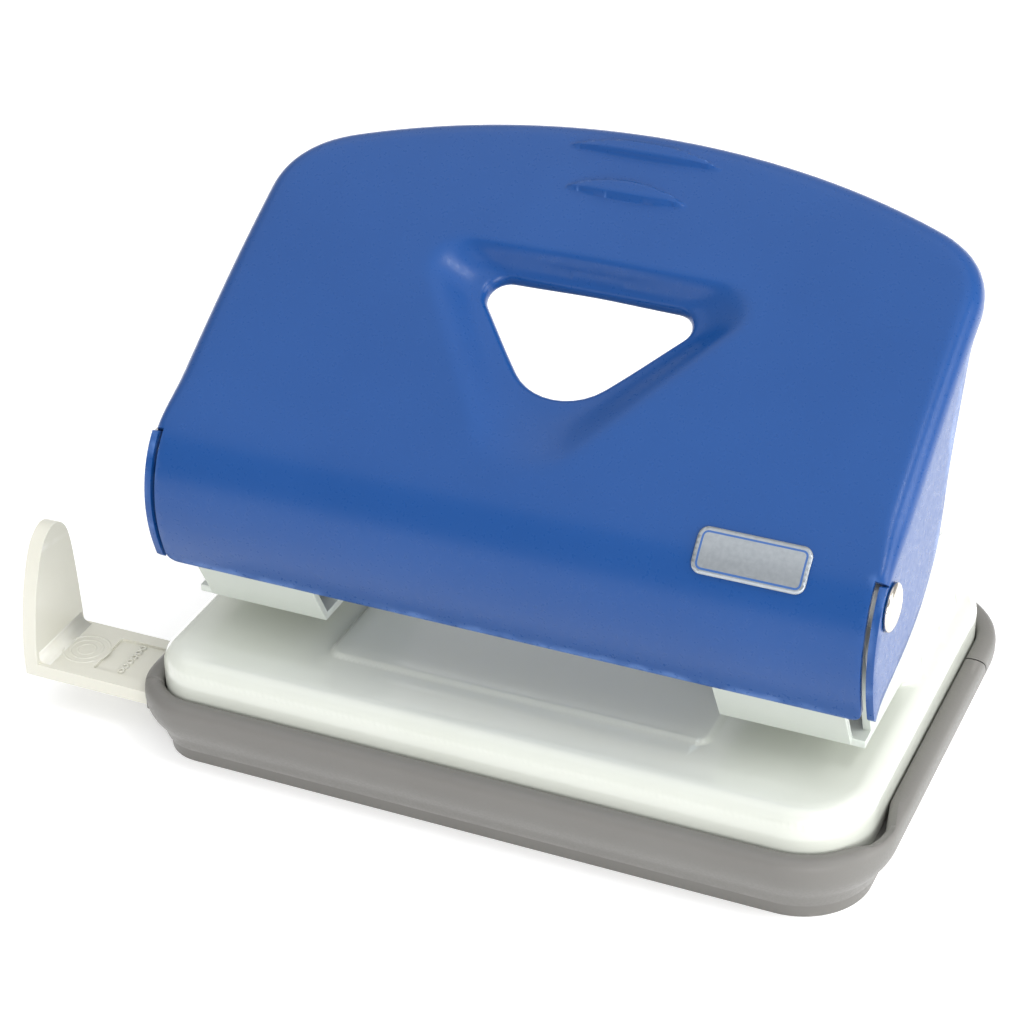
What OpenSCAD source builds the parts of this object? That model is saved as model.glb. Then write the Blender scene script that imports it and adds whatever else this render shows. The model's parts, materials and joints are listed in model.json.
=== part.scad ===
// Two-hole office punch for an 80 mm hole spacing.
// Origin: midway between the two punching axes, on the surface the punch stands on.
// +X to the right, +Y away from the person punching, +Z up. Millimetres.

/* [Punching] */
// Distance between the two punching axes
hole_spacing = 80; // [60:1:96]
// Diameter of the punched hole and of the punch pin
pin_d = 5.5; // [5:0.1:6.6]
// Distance from the punching axes back to the paper stop
stop_depth = 12; // [9:0.2:14.4]
// Height of the paper slot
throat_h = 4.5; // [3:0.1:5.5]
// Clearance between a punch pin and its guides, on the radius
pin_fit = 0.05; // [0.03:0.01:0.1]
// Clearance between a punch pin and its die hole, on the radius
die_fit = 0.1; // [0.05:0.01:0.15]

/* [Base] */
// From a bracket's ear out to the chip tray's rim
base_side = 6; // [4.5:0.1:18]
// Front edge of the chip tray, measured from the punching axes
base_front = 26; // [25:0.5:32]
// Rear edge of the chip tray, measured from the punching axes
base_rear = 50.5; // [50:0.5:62]
// Plan radius of the chip tray's corners
base_corner_r = 14; // [12:0.5:16]
// Height of the chip tray's rim
rim_h = 11.6; // [11:0.2:13]
// Height of the paper table above the standing surface
table_h = 17.5; // [17:0.5:21]
// Thickness of the base plate's sheet steel
plate_t = 1.2; // [1:0.1:1.4]
// Wall of the plastic chip tray
tray_wall = 1.6; // [1.4:0.1:1.8]
// Height of the raised paper table between the two brackets
pad_h = 0.6; // [0.4:0.1:0.8]

/* [Brackets] */
// Width of a bracket's sole
bracket_w = 21; // [20:0.2:23]
// Front edge of a bracket, measured from the punching axes
bracket_front = 10.5; // [9:0.5:11]
// Rear edge of a bracket, measured from the punching axes
bracket_rear = 39.5; // [38:0.5:41]
// Thickness of the brackets' sheet steel
bracket_t = 1.2; // [1:0.1:1.4]
// Height of the upper pin guide above the sole
guide_rise = 15.6; // [15:0.2:17]
// Diameter of the rivets that hold the brackets
rivet_d = 4; // [3:0.1:4.8]

/* [Handle] */
// Thickness of the washers between the handle and the brackets
washer_t = 1.7; // [0.6:0.1:4.4]
// Thickness of the handle's sheet steel
sheet_t = 1; // [0.8:0.1:1.1]
// Angle that the handle swings through
press_angle = 30; // [20:1:30]
// Distance from the punching axes forward to the handle's pivot
pivot_reach = 13.1; // [13:0.1:13.4]
// Height of the handle's pivot above the brackets' soles
pivot_rise = 25.3; // [25:0.1:25.4]
// Distance from the pivot back to the handle's rear edge
handle_depth = 58.5; // [56:0.5:60]
// Height of the handle's rear edge above the pivot
crown_rise = 35.1; // [33:0.1:36]
// Diameter of the pivot rivets' shank
pivot_d = 3; // [2.6:0.1:3.4]
// Width of the finger hole at its top edge
finger_w = 30.8; // [24:0.2:34]

/* [Paper guide] */
// Width of the paper guide's arm
guide_w = 13.5; // [12:0.5:14.5]
// Thickness of the paper guide's arm
guide_t = 2.2; // [1.8:0.1:2.4]
// Height of the paper guide's fin above the standing surface
fin_h = 27; // [20:0.5:32]
// How far the paper guide stands out of the chip tray, as set
guide_out = 20.5; // [15:0.5:32.5]
// Length of the paper guide
guide_l = 96; // [90:1:100]

/* [Hidden] */

$fn = 48;
gap = 0.3;            // clearance between neighbours that only lie near each other
through = 1;          // how far a cutting shape runs past the face it cuts
pin_x = hole_spacing / 2;
pin_r = pin_d / 2;

// Brackets
ear_x = pin_x + 11.5;            // outer face of the ear
inner_x = ear_x - bracket_w;
seat_h = table_h + throat_h;     // top of the raised rear that carries the brackets
guide_z = seat_h + guide_rise;
lip_lean = 4;
lip_rise = 7.5;
ear_r = 3.4;                     // round end of the ear about the pivot
rivet_x = inner_x + bracket_w / 2;
rivet_y = bracket_rear - 8;
rivet_dx = 5.5;

// Base plate: a pressed shell standing inside the tray's rim
base_w = 2 * (ear_x + base_side);
rim_wall = 3.2;                  // rim of the tray, from its outer edge to the base plate
skirt_low = 8.6;                 // lower edge of the base plate's skirt
shoulder_r = 3;                  // rounding between skirt and table, drawn as two chamfers
plate_x = base_w / 2 - rim_wall;
plate_front = base_front - rim_wall;
plate_rear = base_rear - rim_wall;
plate_corner_r = base_corner_r - rim_wall;
seat_side = 2.7;                 // from the skirt in to the side of the raised rear
seat_corner_r = 3;
seat_rear_edge = bracket_rear + 4;
pad_x = inner_x - 1;
pad_front = -12.6;
pad_corner_r = 2;

// Handle mechanism
pivot_y = -pivot_reach;
pivot_h = seat_h + pivot_rise;
half_press = press_angle / 2;
pin_ball_z = pivot_h + pivot_reach * tan(half_press);   // centre of the pin's round top
pin_tip_z = seat_h + gap;
press_t = 1.6;
press_tab = 3;                   // height of the press plate's turned-up edges
press_gap = 0.1;                 // between a press plate and the round top of its pin
press_from = pivot_reach - 5.1;  // nearest and furthest edge of a press plate from the pivot
press_to = pivot_reach + 7.4;
press_x = inner_x + 0.6;

// Springs and clips
seat_fit = 0.05;                 // between faces that rest on each other
clip_t = 1;
clip_d = pin_d + 3.5;
clip_top = guide_z - 0.15;
clip_r = pin_r - 0.5;            // foot of the groove that the clip sits in
spring_wire = 0.9;
spring_d = pin_d + 1.9;          // mean diameter
spring_turns = 6;
spring_low = seat_h + bracket_t + seat_fit;
spring_high = clip_top - clip_t - seat_fit;
wire_sides = 6;
steps_per_turn = 12;

// Handle shell
flange_in = ear_x + washer_t + 2 * seat_fit;
flange_x = flange_in + sheet_t;
slit_w = 0.7;
head_d = 6.8;                    // head of a pivot rivet
foot_d = pivot_d + 1.8;          // its foot inside the ear
outline_corner_r = 14;
arch_r = 125;
hole_corner_r = 3;
hole_tip_r = 6.2;

// Badge
badge_w = 15.8;
badge_l = 6.4;
badge_t = 0.4;
badge_x = pin_x - 4;
badge_corner_r = 1.4;

// Paper guide
guide_z0 = 6;
guide_y0 = -19.9;
guide_end = -base_w / 2 - guide_out;
fin_t = 1.6;

// Tray hinge
hinge_y = base_rear - 6.5;
hinge_z = 5.4;
hinge_d = 2.6;
hinge_fit = 0.1;
knuckle_d = 5.2;
lug_w = 3.4;
lug_gap = 0.2;
arm_x = 36;
arm_w = 6;
wall_in = 3.5;                   // from the tray's rim to the inside of its wall
floor_x = base_w / 2 - 7;        // side of the tray's floor between the strip's corners
floor_corner_r = 6;
floor_rear = hinge_y - 4.1;
split_top = 31;                  // where the hinge strip's corner meets the tray at the rim
split_low = 36.5;                // and at the standing surface

white_paint = "#e3e9df";
blue_paint = "#2b5ea8";
grey_plastic = "#8a8680";
bare_steel = "#b4b8ba";

// ---------- helpers ----------
function bez(a, b, c, d, t) =
    pow(1 - t, 3) * a + 3 * pow(1 - t, 2) * t * b + 3 * (1 - t) * t * t * c + pow(t, 3) * d;
function bez_d(a, b, c, d, t) =
    3 * pow(1 - t, 2) * (b - a) + 6 * (1 - t) * t * (c - b) + 3 * t * t * (d - c);
function unit(v) = v / norm(v);
function left_of(v) = [v[1], -v[0]];

// One point of a Bezier piece, moved inwards by an inset
function inset_point(k, t, inset) =
    bez(k[0], k[1], k[2], k[3], t)
    + inset * left_of(unit(bez_d(k[0], k[1], k[2], k[3], t)));

// Side profile of the handle's sheet, [y, z] from the pivot: nose, sloping face, rolled rear edge
bend = [-2.1, 5];
brow = [handle_depth - 5.4, crown_rise];
nose_curve = [[-3.9, -16.3], [-7.1, -9.5], [-7.7, -0.9], bend];
face_curve = [bend, [9.1, 12.3], brow - [22, 8], brow];
roll_curve = [brow, brow + [3.5, 1.3], brow + [5.2, -0.4], [handle_depth, crown_rise - 4.4]];

function profile(inset) = concat(
    [for (i = [0:9]) inset_point(nose_curve, i / 10, inset)],
    [for (i = [1:15]) inset_point(face_curve, i / 15, inset)],
    [for (i = [1:6]) inset_point(roll_curve, i / 6, inset)]
);

// Lower and rear edge of the side flanges, from the rear roll down to the nose
flange_edge = [
    [handle_depth - 3.4, crown_rise - 7.9], [35.3, crown_rise - 9], [31.4, 18.5], [26.5, 7.7],
    [24.4, 0.2], [22.4, -4.4], [18.8, -8], [15, -10.4], [9.6, -12.3], [4.2, -13.4],
    [-1.1, -14.4], [-3.3, -16.3]
];
// The hollow under the sheet runs out past that edge
hollow_edge = [[handle_depth, 12.7], [handle_depth - 5, -27.3], [1.1, -27.3], [-2.9, -16.3]];

module along_x(x0, x1) {
    translate([x0, 0, 0])
        rotate([90, 0, 90])
            linear_extrude(x1 - x0)
                children();
}

module slab(x0, x1, y0, y1, r, z0, z1) {
    translate([0, 0, z0])
        linear_extrude(z1 - z0)
            union() {
                translate([x0 + r, y0])
                    square([x1 - x0 - 2 * r, y1 - y0]);
                translate([x0, y0 + r])
                    square([x1 - x0, y1 - y0 - 2 * r]);
                for (x = [x0 + r, x1 - r], y = [y0 + r, y1 - r])
                    translate([x, y])
                        circle(r);
            }
}

module base_slab(inset, z0, z1) {
    slab(-plate_x + inset, plate_x - inset, -plate_front + inset, plate_rear - inset,
         plate_corner_r - inset, z0, z1);
}

module seat_slab(inset, z0, z1) {
    slab(-plate_x + seat_side + inset, plate_x - seat_side - inset, stop_depth + inset,
         seat_rear_edge - inset, seat_corner_r - inset, z0, z1);
}

module right_or_left(side) {
    if (side > 0)
        children();
    else
        mirror([1, 0, 0])
            children();
}

// ---------- base ----------
// Skirt and table, from a lower edge up, moved inwards by an inset
module base_solid(inset, low) {
    top = table_h - inset;
    hull() {
        base_slab(inset, low, table_h - shoulder_r);
        base_slab(inset + shoulder_r * 0.3, low, top - shoulder_r * 0.36);
        base_slab(inset + shoulder_r, low, top);
    }
}

module base_plate() {
    color(white_paint)
        difference() {
            union() {
                base_solid(0, skirt_low);
                seat_slab(0, table_h - plate_t / 2, seat_h);
                slab(-pad_x, pad_x, pad_front, stop_depth + 1, pad_corner_r, table_h - plate_t / 2,
                     table_h + pad_h);
            }
            base_solid(plate_t, skirt_low - through);
            seat_slab(plate_t, table_h - plate_t - 2, seat_h - plate_t);
            for (side = [-1, 1]) {
                translate([side * pin_x, 0, 0])
                    cylinder(h = 2 * table_h, r = pin_r + die_fit);
                for (dx = [-rivet_dx, rivet_dx])
                    translate([side * rivet_x + dx, rivet_y, 0])
                        cylinder(h = 2 * seat_h, d = rivet_d);
            }
        }
}

module tray_slab(inset, z0, z1, y1) {
    slab(-base_w / 2 + inset, base_w / 2 - inset, -base_front + inset, y1, base_corner_r - inset, z0, z1);
}

// Everything behind the slanted split belongs to the hinge strip
module behind_split(clear) {
    along_x(-base_w, base_w)
        polygon([
            [split_low + clear - 0.3, -1], [split_top + clear, rim_h + 1.2],
            [base_rear + 5, rim_h + 1.2], [base_rear + 5, -1]
        ]);
}

// Outside of the tray and strip together: flared from the floor up to the rim
module skirt_outside() {
    hull() {
        tray_slab(1.9, 0, 1, base_rear - 1.9);
        tray_slab(0.3, 5.5, 6, base_rear - 0.3);
        tray_slab(0, 8, rim_h - 1.2, base_rear);
        tray_slab(1.2, rim_h - 0.5, rim_h, base_rear - 1.2);
    }
}

// Space taken by the base plate, with the clearance it has in the plastic
module base_room(clear) {
    slab(-plate_x - clear, plate_x + clear, -plate_front - clear, plate_rear + clear,
         plate_corner_r + clear, skirt_low - clear, rim_h + 5);
}

// Inside of the flared wall, from a floor level upwards
module wall_inside(from_z) {
    slab(-base_w / 2 + wall_in, base_w / 2 - wall_in, -base_front + wall_in, base_rear - wall_in,
         base_corner_r - wall_in, from_z, rim_h + 5);
}

// Floor and rear wall of the chip tray, running back between the strip's corners
module tray_back(inset, z0, z1) {
    slab(-floor_x + inset, floor_x - inset, -floor_rear / 2, floor_rear - inset, floor_corner_r - inset,
         z0, z1);
}

module tray_hinge_arm(side) {
    translate([side * arm_x - arm_w / 2, 0, 0])
        union() {
            translate([0, hinge_y, hinge_z])
                rotate([0, 90, 0])
                    cylinder(h = arm_w, d = knuckle_d);
            translate([0, floor_rear - tray_wall, hinge_z - knuckle_d / 2])
                cube([arm_w, hinge_y - floor_rear + tray_wall, knuckle_d / 2]);
        }
    translate([side * arm_x, hinge_y, hinge_z])
        rotate([0, 90, 0])
            cylinder(h = arm_w + 2 * lug_w, d = hinge_d, center = true);
}

module chip_tray() {
    color(grey_plastic)
        difference() {
            union() {
                difference() {
                    skirt_outside();
                    behind_split(0);
                    wall_inside(tray_wall);
                }
                difference() {
                    tray_back(0, 0, hinge_z + 1);
                    tray_back(tray_wall, tray_wall, hinge_z + 5);
                    translate([-floor_x - 1, -floor_rear, tray_wall])
                        cube([2 * floor_x + 2, floor_rear + split_top - 2, hinge_z + 5]);
                }
                for (side = [-1, 1])
                    tray_hinge_arm(side);
            }
            base_room(0.2);
            // mouth for the paper guide, open at the top
            translate([-base_w, guide_y0 - 0.4, guide_z0 - 0.4])
                cube([base_w, guide_w + 0.8, rim_h]);
            // finger notch for pulling the tray open
            translate([base_w / 2 - 4.4, -base_front + 6, rim_h - 2])
                cube([3, 8, 3]);
        }
}

module tray_hinge_strip() {
    color(grey_plastic)
        difference() {
            union() {
                difference() {
                    intersection() {
                        skirt_outside();
                        behind_split(gap);
                    }
                    base_room(0.05);
                    wall_inside(tray_wall);
                    // the tray's floor and hinge arms lie in this opening
                    slab(-floor_x - gap, floor_x + gap, -base_front, base_rear - wall_in,
                         base_corner_r - wall_in, -1, rim_h - 1);
                }
                for (side = [-1, 1], s = [-1, 1])
                    translate([side * arm_x + s * (arm_w / 2 + lug_gap + lug_w / 2) - lug_w / 2, 0, 0])
                        union() {
                            translate([0, hinge_y, hinge_z])
                                rotate([0, 90, 0])
                                    cylinder(h = lug_w, d = knuckle_d);
                            translate([0, hinge_y, hinge_z - knuckle_d / 2])
                                cube([lug_w, base_rear - 1.8 - hinge_y, knuckle_d]);
                        }
            }
            for (side = [-1, 1])
                translate([side * arm_x, hinge_y, hinge_z])
                    rotate([0, 90, 0])
                        cylinder(h = arm_w + 2 * lug_w + 2, d = hinge_d + 2 * hinge_fit, center = true);
        }
}

// ---------- brackets ----------
module bracket() {
    ear_y0 = -bracket_front + 3;
    wall_y0 = -bracket_front + 4;
    difference() {
        union() {
            // sole
            translate([inner_x, -bracket_front, seat_h])
                cube([bracket_w, bracket_front + bracket_rear, bracket_t]);
            // front lip, leaning forwards
            along_x(inner_x, ear_x - 2)
                polygon([
                    [-bracket_front, seat_h], [-bracket_front - lip_lean, seat_h + lip_rise],
                    [-bracket_front - lip_lean + bracket_t, seat_h + lip_rise],
                    [-bracket_front + bracket_t, seat_h]
                ]);
            // outer ear with the pivot
            along_x(ear_x - bracket_t, ear_x)
                union() {
                    polygon([
                        [ear_y0, seat_h], [pivot_y - ear_r, pivot_h], [pivot_y, pivot_h + ear_r],
                        [pivot_y + 4.5, pivot_h + 1.6], [bracket_rear - 15.5, seat_h + 14.6],
                        [bracket_rear - 6, seat_h + 9.6], [bracket_rear - 1.6, seat_h + 5.6],
                        [bracket_rear, seat_h]
                    ]);
                    translate([pivot_y, pivot_h])
                        circle(ear_r);
                }
            // inner wall
            along_x(inner_x, inner_x + bracket_t)
                polygon([
                    [wall_y0, seat_h], [wall_y0, guide_z + bracket_t], [8, guide_z + bracket_t],
                    [bracket_rear - 12, seat_h + 8], [bracket_rear - 4, seat_h]
                ]);
            // upper pin guide
            translate([inner_x, wall_y0, guide_z])
                cube([bracket_w - bracket_t / 2, 8 - wall_y0, bracket_t]);
        }
        translate([pin_x, 0, seat_h - through])
            cylinder(h = guide_rise + bracket_t + 2 * through, r = pin_r + pin_fit);
        translate([ear_x - bracket_t - through, pivot_y, pivot_h])
            rotate([0, 90, 0])
                cylinder(h = bracket_t + 2 * through, d = pivot_d);
        for (dx = [-rivet_dx, rivet_dx])
            translate([rivet_x + dx, rivet_y, seat_h - through])
                cylinder(h = bracket_t + 2 * through, d = rivet_d);
    }
}

module left_bracket() {
    color(white_paint)
        right_or_left(-1)
            bracket();
}

module right_bracket() {
    color(white_paint)
        right_or_left(1)
            bracket();
}

// Rivet with a coned head above the stack that it clamps, and a flat foot below
module rivet(d, head_w, head_h, foot_w, foot_h, grip) {
    union() {
        translate([0, 0, -foot_h])
            cylinder(h = foot_h, d = foot_w);
        cylinder(h = grip, d = d);
        translate([0, 0, grip])
            cylinder(h = head_h * 0.55, d = head_w);
        translate([0, 0, grip + head_h * 0.55])
            cylinder(h = head_h * 0.45, d1 = head_w, d2 = head_w * 0.65);
    }
}

module bracket_rivets() {
    color("#c9cdc6")
        for (side = [-1, 1], dx = [-rivet_dx, rivet_dx])
            translate([side * rivet_x + dx, rivet_y, seat_h - plate_t])
                rivet(rivet_d, rivet_d + 2.4, 1.2, rivet_d + 1.8, 1.2, plate_t + bracket_t);
}

// ---------- punch pins ----------
module punch_pin() {
    notch = 1.8;
    difference() {
        union() {
            translate([0, 0, pin_tip_z])
                cylinder(h = pin_ball_z - pin_tip_z, r = pin_r);
            translate([0, 0, pin_ball_z])
                sphere(r = pin_r);
        }
        // groove for the spring clip
        translate([0, 0, clip_top - clip_t])
            difference() {
                cylinder(h = clip_t, r = pin_r + through);
                translate([0, 0, -through])
                    cylinder(h = clip_t + 2 * through, r = clip_r);
            }
        // notched cutting end
        translate([0, 0, pin_tip_z - 0.6])
            rotate([0, 45, 0])
                cube([notch, 2 * pin_d, notch], center = true);
    }
}

module left_punch_pin() {
    color("silver")
        translate([-pin_x, 0, 0])
            punch_pin();
}

module right_punch_pin() {
    color("silver")
        translate([pin_x, 0, 0])
            punch_pin();
}

module spring_clip() {
    translate([0, 0, clip_top - clip_t])
        difference() {
            cylinder(h = clip_t, d = clip_d);
            translate([0, 0, -through])
                cylinder(h = clip_t + 2 * through, r = clip_r);
            translate([-clip_r, -clip_d, -through])
                cube([2 * clip_r, clip_d, clip_t + 2 * through]);
        }
}

module left_spring_clip() {
    color("#6d6f72")
        translate([-pin_x, 0, 0])
            spring_clip();
}

module right_spring_clip() {
    color("#6d6f72")
        translate([pin_x, 0, 0])
            spring_clip();
}

// Helical compression spring: a ring of wire_sides points at each step of the helix
module return_spring() {
    steps = spring_turns * steps_per_turn;
    r = spring_d / 2;
    wire_r = spring_wire / 2;
    low = spring_low + wire_r;
    rise = spring_high - spring_low - spring_wire;
    points = [
        for (i = [0:steps], k = [0:wire_sides - 1])
            let (turn = 360 * i / steps_per_turn, a = 360 * k / wire_sides, reach = r + wire_r * cos(a))
                [reach * cos(turn), reach * sin(turn), low + rise * i / steps + wire_r * sin(a)]
    ];
    faces = concat(
        [[for (k = [0:wire_sides - 1]) k]],
        [
            for (i = [0:steps - 1], k = [0:wire_sides - 1])
                let (n = (k + 1) % wire_sides, a = i * wire_sides, b = a + wire_sides)
                    [a + k, b + k, b + n, a + n]
        ],
        [[for (k = [wire_sides - 1:-1:0]) steps * wire_sides + k]]
    );
    polyhedron(points = points, faces = faces);
}

module left_return_spring() {
    color("#9aa0a6")
        translate([-pin_x, 0, 0])
            return_spring();
}

module right_return_spring() {
    color("#9aa0a6")
        translate([pin_x, 0, 0])
            return_spring();
}

// ---------- handle pivot ----------
module pivot_rivet() {
    stack = flange_x - ear_x + bracket_t + 2 * seat_fit;
    translate([ear_x - bracket_t, pivot_y, pivot_h])
        rotate([0, 90, 0])
            rivet(pivot_d, head_d, 1.2, foot_d, 1, stack);
}

module left_pivot_rivet() {
    color("#b9b2a8")
        right_or_left(-1)
            pivot_rivet();
}

module right_pivot_rivet() {
    color("#b9b2a8")
        right_or_left(1)
            pivot_rivet();
}

module pivot_washer() {
    translate([ear_x + seat_fit, pivot_y, pivot_h])
        rotate([0, 90, 0])
            difference() {
                cylinder(h = washer_t, r = ear_r - 0.2);
                translate([0, 0, -through])
                    cylinder(h = washer_t + 2 * through, d = pivot_d + 2 * seat_fit);
            }
}

module left_pivot_washer() {
    color("#d9d9d2")
        right_or_left(-1)
            pivot_washer();
}

module right_pivot_washer() {
    color("#d9d9d2")
        right_or_left(1)
            pivot_washer();
}

// ---------- handle, drawn about its pivot ----------
// Outline of the handle seen from above: straight sides and an arched rear edge,
// joined by round corners that touch both
arch_y = handle_depth - arch_r;
corner_x = flange_x - outline_corner_r;
corner_y = arch_y + sqrt(pow(arch_r - outline_corner_r, 2) - pow(corner_x, 2));
above = [0, 0, -50];             // the outline runs from below the flanges to above the crown

module outline(inset) {
    far = arch_r / (arch_r - outline_corner_r) * 1.1;
    translate(above)
        linear_extrude(120)
            union() {
                translate([-flange_x + inset, -40])
                    square([2 * (flange_x - inset), 40 + corner_y]);
                for (side = [-1, 1])
                    translate([side * corner_x, corner_y])
                        circle(outline_corner_r - inset);
                intersection() {
                    translate([0, arch_y])
                        circle(arch_r - inset, $fn = 180);
                    polygon([
                        [0, arch_y], [far * corner_x, arch_y + far * (corner_y - arch_y)],
                        [-far * corner_x, arch_y + far * (corner_y - arch_y)]
                    ]);
                }
            }
}

// Rounded triangle, its point towards the nose
module finger_hole() {
    hole_side = finger_w / 2 - hole_corner_r;
    hole_y = 25.1;
    tip_y = 18.7;
    linear_extrude(60)
        hull() {
            for (side = [-1, 1])
                translate([side * hole_side, hole_y])
                    circle(hole_corner_r, $fn = 32);
            translate([0, tip_y])
                circle(hole_tip_r, $fn = 32);
        }
}

module handle_shell() {
    slit_top = bend[1] - 0.3;
    slit_l = 27;
    color(blue_paint)
        translate([0, pivot_y, pivot_h])
            difference() {
                intersection() {
                    along_x(-flange_x, flange_x)
                        polygon(concat(profile(0), flange_edge));
                    outline(0);
                }
                intersection() {
                    along_x(-flange_in, flange_in)
                        polygon(concat(profile(sheet_t), hollow_edge));
                    outline(sheet_t);
                }
                finger_hole();
                // slits that part the nose from the side flanges
                for (x = [-flange_in, flange_in - slit_w])
                    translate([x, bend[0] - 15, slit_top - slit_l])
                        cube([slit_w, 15, slit_l]);
                translate([-flange_x - through, 0, 0])
                    rotate([0, 90, 0])
                        cylinder(h = 2 * (flange_x + through), d = pivot_d + 2 * seat_fit);
            }
}

// Region between the nose's outside and a curve further in or out
module under_profile(inset) {
    polygon(concat(profile(inset), [[handle_depth, 12.7], [13, -16.3]]));
}

// Thin plate that hugs the top of the nose, to the right
module badge_plate() {
    along = 0.95;                // its middle, as a share of the nose curve
    middle = inset_point(nose_curve, along, 0);
    way = unit(bez_d(nose_curve[0], nose_curve[1], nose_curve[2], nose_curve[3], along));
    color("silver")
        translate([0, pivot_y, pivot_h])
            intersection() {
                along_x(badge_x - badge_w / 2, badge_x + badge_w / 2)
                    difference() {
                        under_profile(-seat_fit - badge_t);
                        under_profile(-seat_fit);
                    }
                translate([badge_x, middle[0], middle[1]])
                    rotate([atan2(way[1], way[0]), 0, 0])
                        slab(-badge_w / 2, badge_w / 2, -badge_l / 2, badge_l / 2, badge_corner_r,
                             -badge_corner_r, badge_corner_r);
            }
}

// Plate under the shell that pushes on the pin's round top
module press_plate() {
    low = pin_r + press_gap;
    length = press_to - press_from;
    translate([0, pivot_y, pivot_h])
        rotate([half_press, 0, 0])
            union() {
                translate([press_x, press_from, low])
                    cube([flange_in - press_x, length, press_t]);
                // edge spot-welded to the inside of the side flange
                translate([flange_in - press_t, press_from, low])
                    cube([press_t, length, press_tab]);
                translate([press_x, press_to - press_t, low])
                    cube([flange_in - press_x, press_t, press_tab]);
            }
}

module left_press_plate() {
    color(bare_steel)
        right_or_left(-1)
            press_plate();
}

module right_press_plate() {
    color(bare_steel)
        right_or_left(1)
            press_plate();
}

// ---------- paper guide ----------
module paper_guide() {
    window = [11, guide_w - 6, 0.5];
    color("#e4e3da")
        union() {
            difference() {
                translate([guide_end, guide_y0, guide_z0])
                    cube([guide_l, guide_w, guide_t]);
                // shallow window on the arm
                translate([guide_end + 8, guide_y0 + 3, guide_z0 + guide_t - window[2]])
                    cube(window + [0, 0, through]);
            }
            // tapered fin at the outer end
            along_x(guide_end, guide_end + fin_t)
                polygon([
                    [guide_y0, guide_z0], [guide_y0 + 0.4, guide_z0 + 9], [guide_y0 + 4, fin_h - 4],
                    [guide_y0 + 7.5, fin_h - 0.8], [guide_y0 + 10, fin_h], [guide_y0 + 12.2, fin_h - 1.6],
                    [guide_y0 + guide_w, fin_h - 6], [guide_y0 + guide_w, guide_z0]
                ]);
        }
}

// Hat-shaped channel under the table: a sleeve round the arm, hung from two webs
module guide_channel() {
    wall = 1;
    fit = 0.15;
    x0 = -plate_x + 7.5;
    length = 44;
    web = 1.6;
    y0 = guide_y0 - fit - wall;
    y1 = guide_y0 + guide_w + fit + wall;
    z0 = guide_z0 - fit - wall;
    z1 = guide_z0 + guide_t + fit + wall;
    web_top = table_h - plate_t;
    color(bare_steel)
        difference() {
            union() {
                translate([x0, y0, z0])
                    cube([length, y1 - y0, z1 - z0]);
                for (y = [y0 + 4, y1 - web])
                    translate([x0, y, z1 - wall])
                        cube([length, web, web_top - z1 + wall]);
            }
            // the arm's way through
            translate([x0 - 1, guide_y0 - fit, guide_z0 - fit])
                cube([length + 2, guide_w + 2 * fit, guide_t + 2 * fit]);
            // open underneath between the two lips
            translate([x0 - 1, guide_y0 + 3, z0 - 1])
                cube([length + 2, guide_w - 6, wall + 2]);
        }
}

base_plate();
chip_tray();
tray_hinge_strip();
left_bracket();
right_bracket();
bracket_rivets();
left_punch_pin();
right_punch_pin();
left_return_spring();
right_return_spring();
left_spring_clip();
right_spring_clip();
left_pivot_rivet();
right_pivot_rivet();
left_pivot_washer();
right_pivot_washer();
handle_shell();
badge_plate();
left_press_plate();
right_press_plate();
paper_guide();
guide_channel();
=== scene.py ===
"""Looks of a two-hole office punch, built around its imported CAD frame.

Lengths in the modelling functions are millimetres; mesh_object() turns them into metres.
"""
import json
import math

import bmesh
import bpy
import numpy as np
from mathutils import Matrix, Vector
from mathutils.geometry import delaunay_2d_cdt

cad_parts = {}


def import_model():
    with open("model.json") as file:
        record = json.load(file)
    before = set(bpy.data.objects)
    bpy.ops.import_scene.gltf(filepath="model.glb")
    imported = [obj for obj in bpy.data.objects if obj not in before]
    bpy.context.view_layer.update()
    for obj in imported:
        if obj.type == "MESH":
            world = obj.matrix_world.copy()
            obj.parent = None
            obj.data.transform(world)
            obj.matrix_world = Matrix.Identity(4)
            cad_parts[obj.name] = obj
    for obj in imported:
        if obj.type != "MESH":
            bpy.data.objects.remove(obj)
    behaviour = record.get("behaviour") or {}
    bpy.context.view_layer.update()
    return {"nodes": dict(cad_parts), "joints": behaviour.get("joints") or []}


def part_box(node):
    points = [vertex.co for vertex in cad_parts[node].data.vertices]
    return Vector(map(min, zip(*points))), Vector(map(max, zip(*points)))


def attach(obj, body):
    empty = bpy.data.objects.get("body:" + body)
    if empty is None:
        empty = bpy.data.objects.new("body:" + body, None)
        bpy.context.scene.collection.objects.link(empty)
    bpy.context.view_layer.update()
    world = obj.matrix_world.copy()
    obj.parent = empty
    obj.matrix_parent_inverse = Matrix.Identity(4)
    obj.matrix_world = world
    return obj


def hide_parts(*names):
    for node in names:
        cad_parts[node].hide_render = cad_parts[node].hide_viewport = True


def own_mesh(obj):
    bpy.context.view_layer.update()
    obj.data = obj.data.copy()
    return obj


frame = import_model()

MM = 0.001


def low(node):
    """Lowest corner of a CAD node, in millimetres."""
    return np.array(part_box(node)[0]) / MM


def high(node):
    """Highest corner of a CAD node, in millimetres."""
    return np.array(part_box(node)[1]) / MM


joints = {j["name"]: j for j in frame["joints"]}
PIVOT_Y, PIVOT_Z = (v / MM for v in joints["handle_press"]["pos_m"][1:])

# ---------------------- materials


HIGHLIGHT_FROM, HIGHLIGHT_SPAN = 0.56, 0.12     # pointiness at which the painted edge highlight starts, and how soon it is full
HIGHLIGHT_PATCHES = 260.0                  # scale of the patches that the painted edge highlight comes in
OWN_SIZE = (1, 1, 1)


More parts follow.
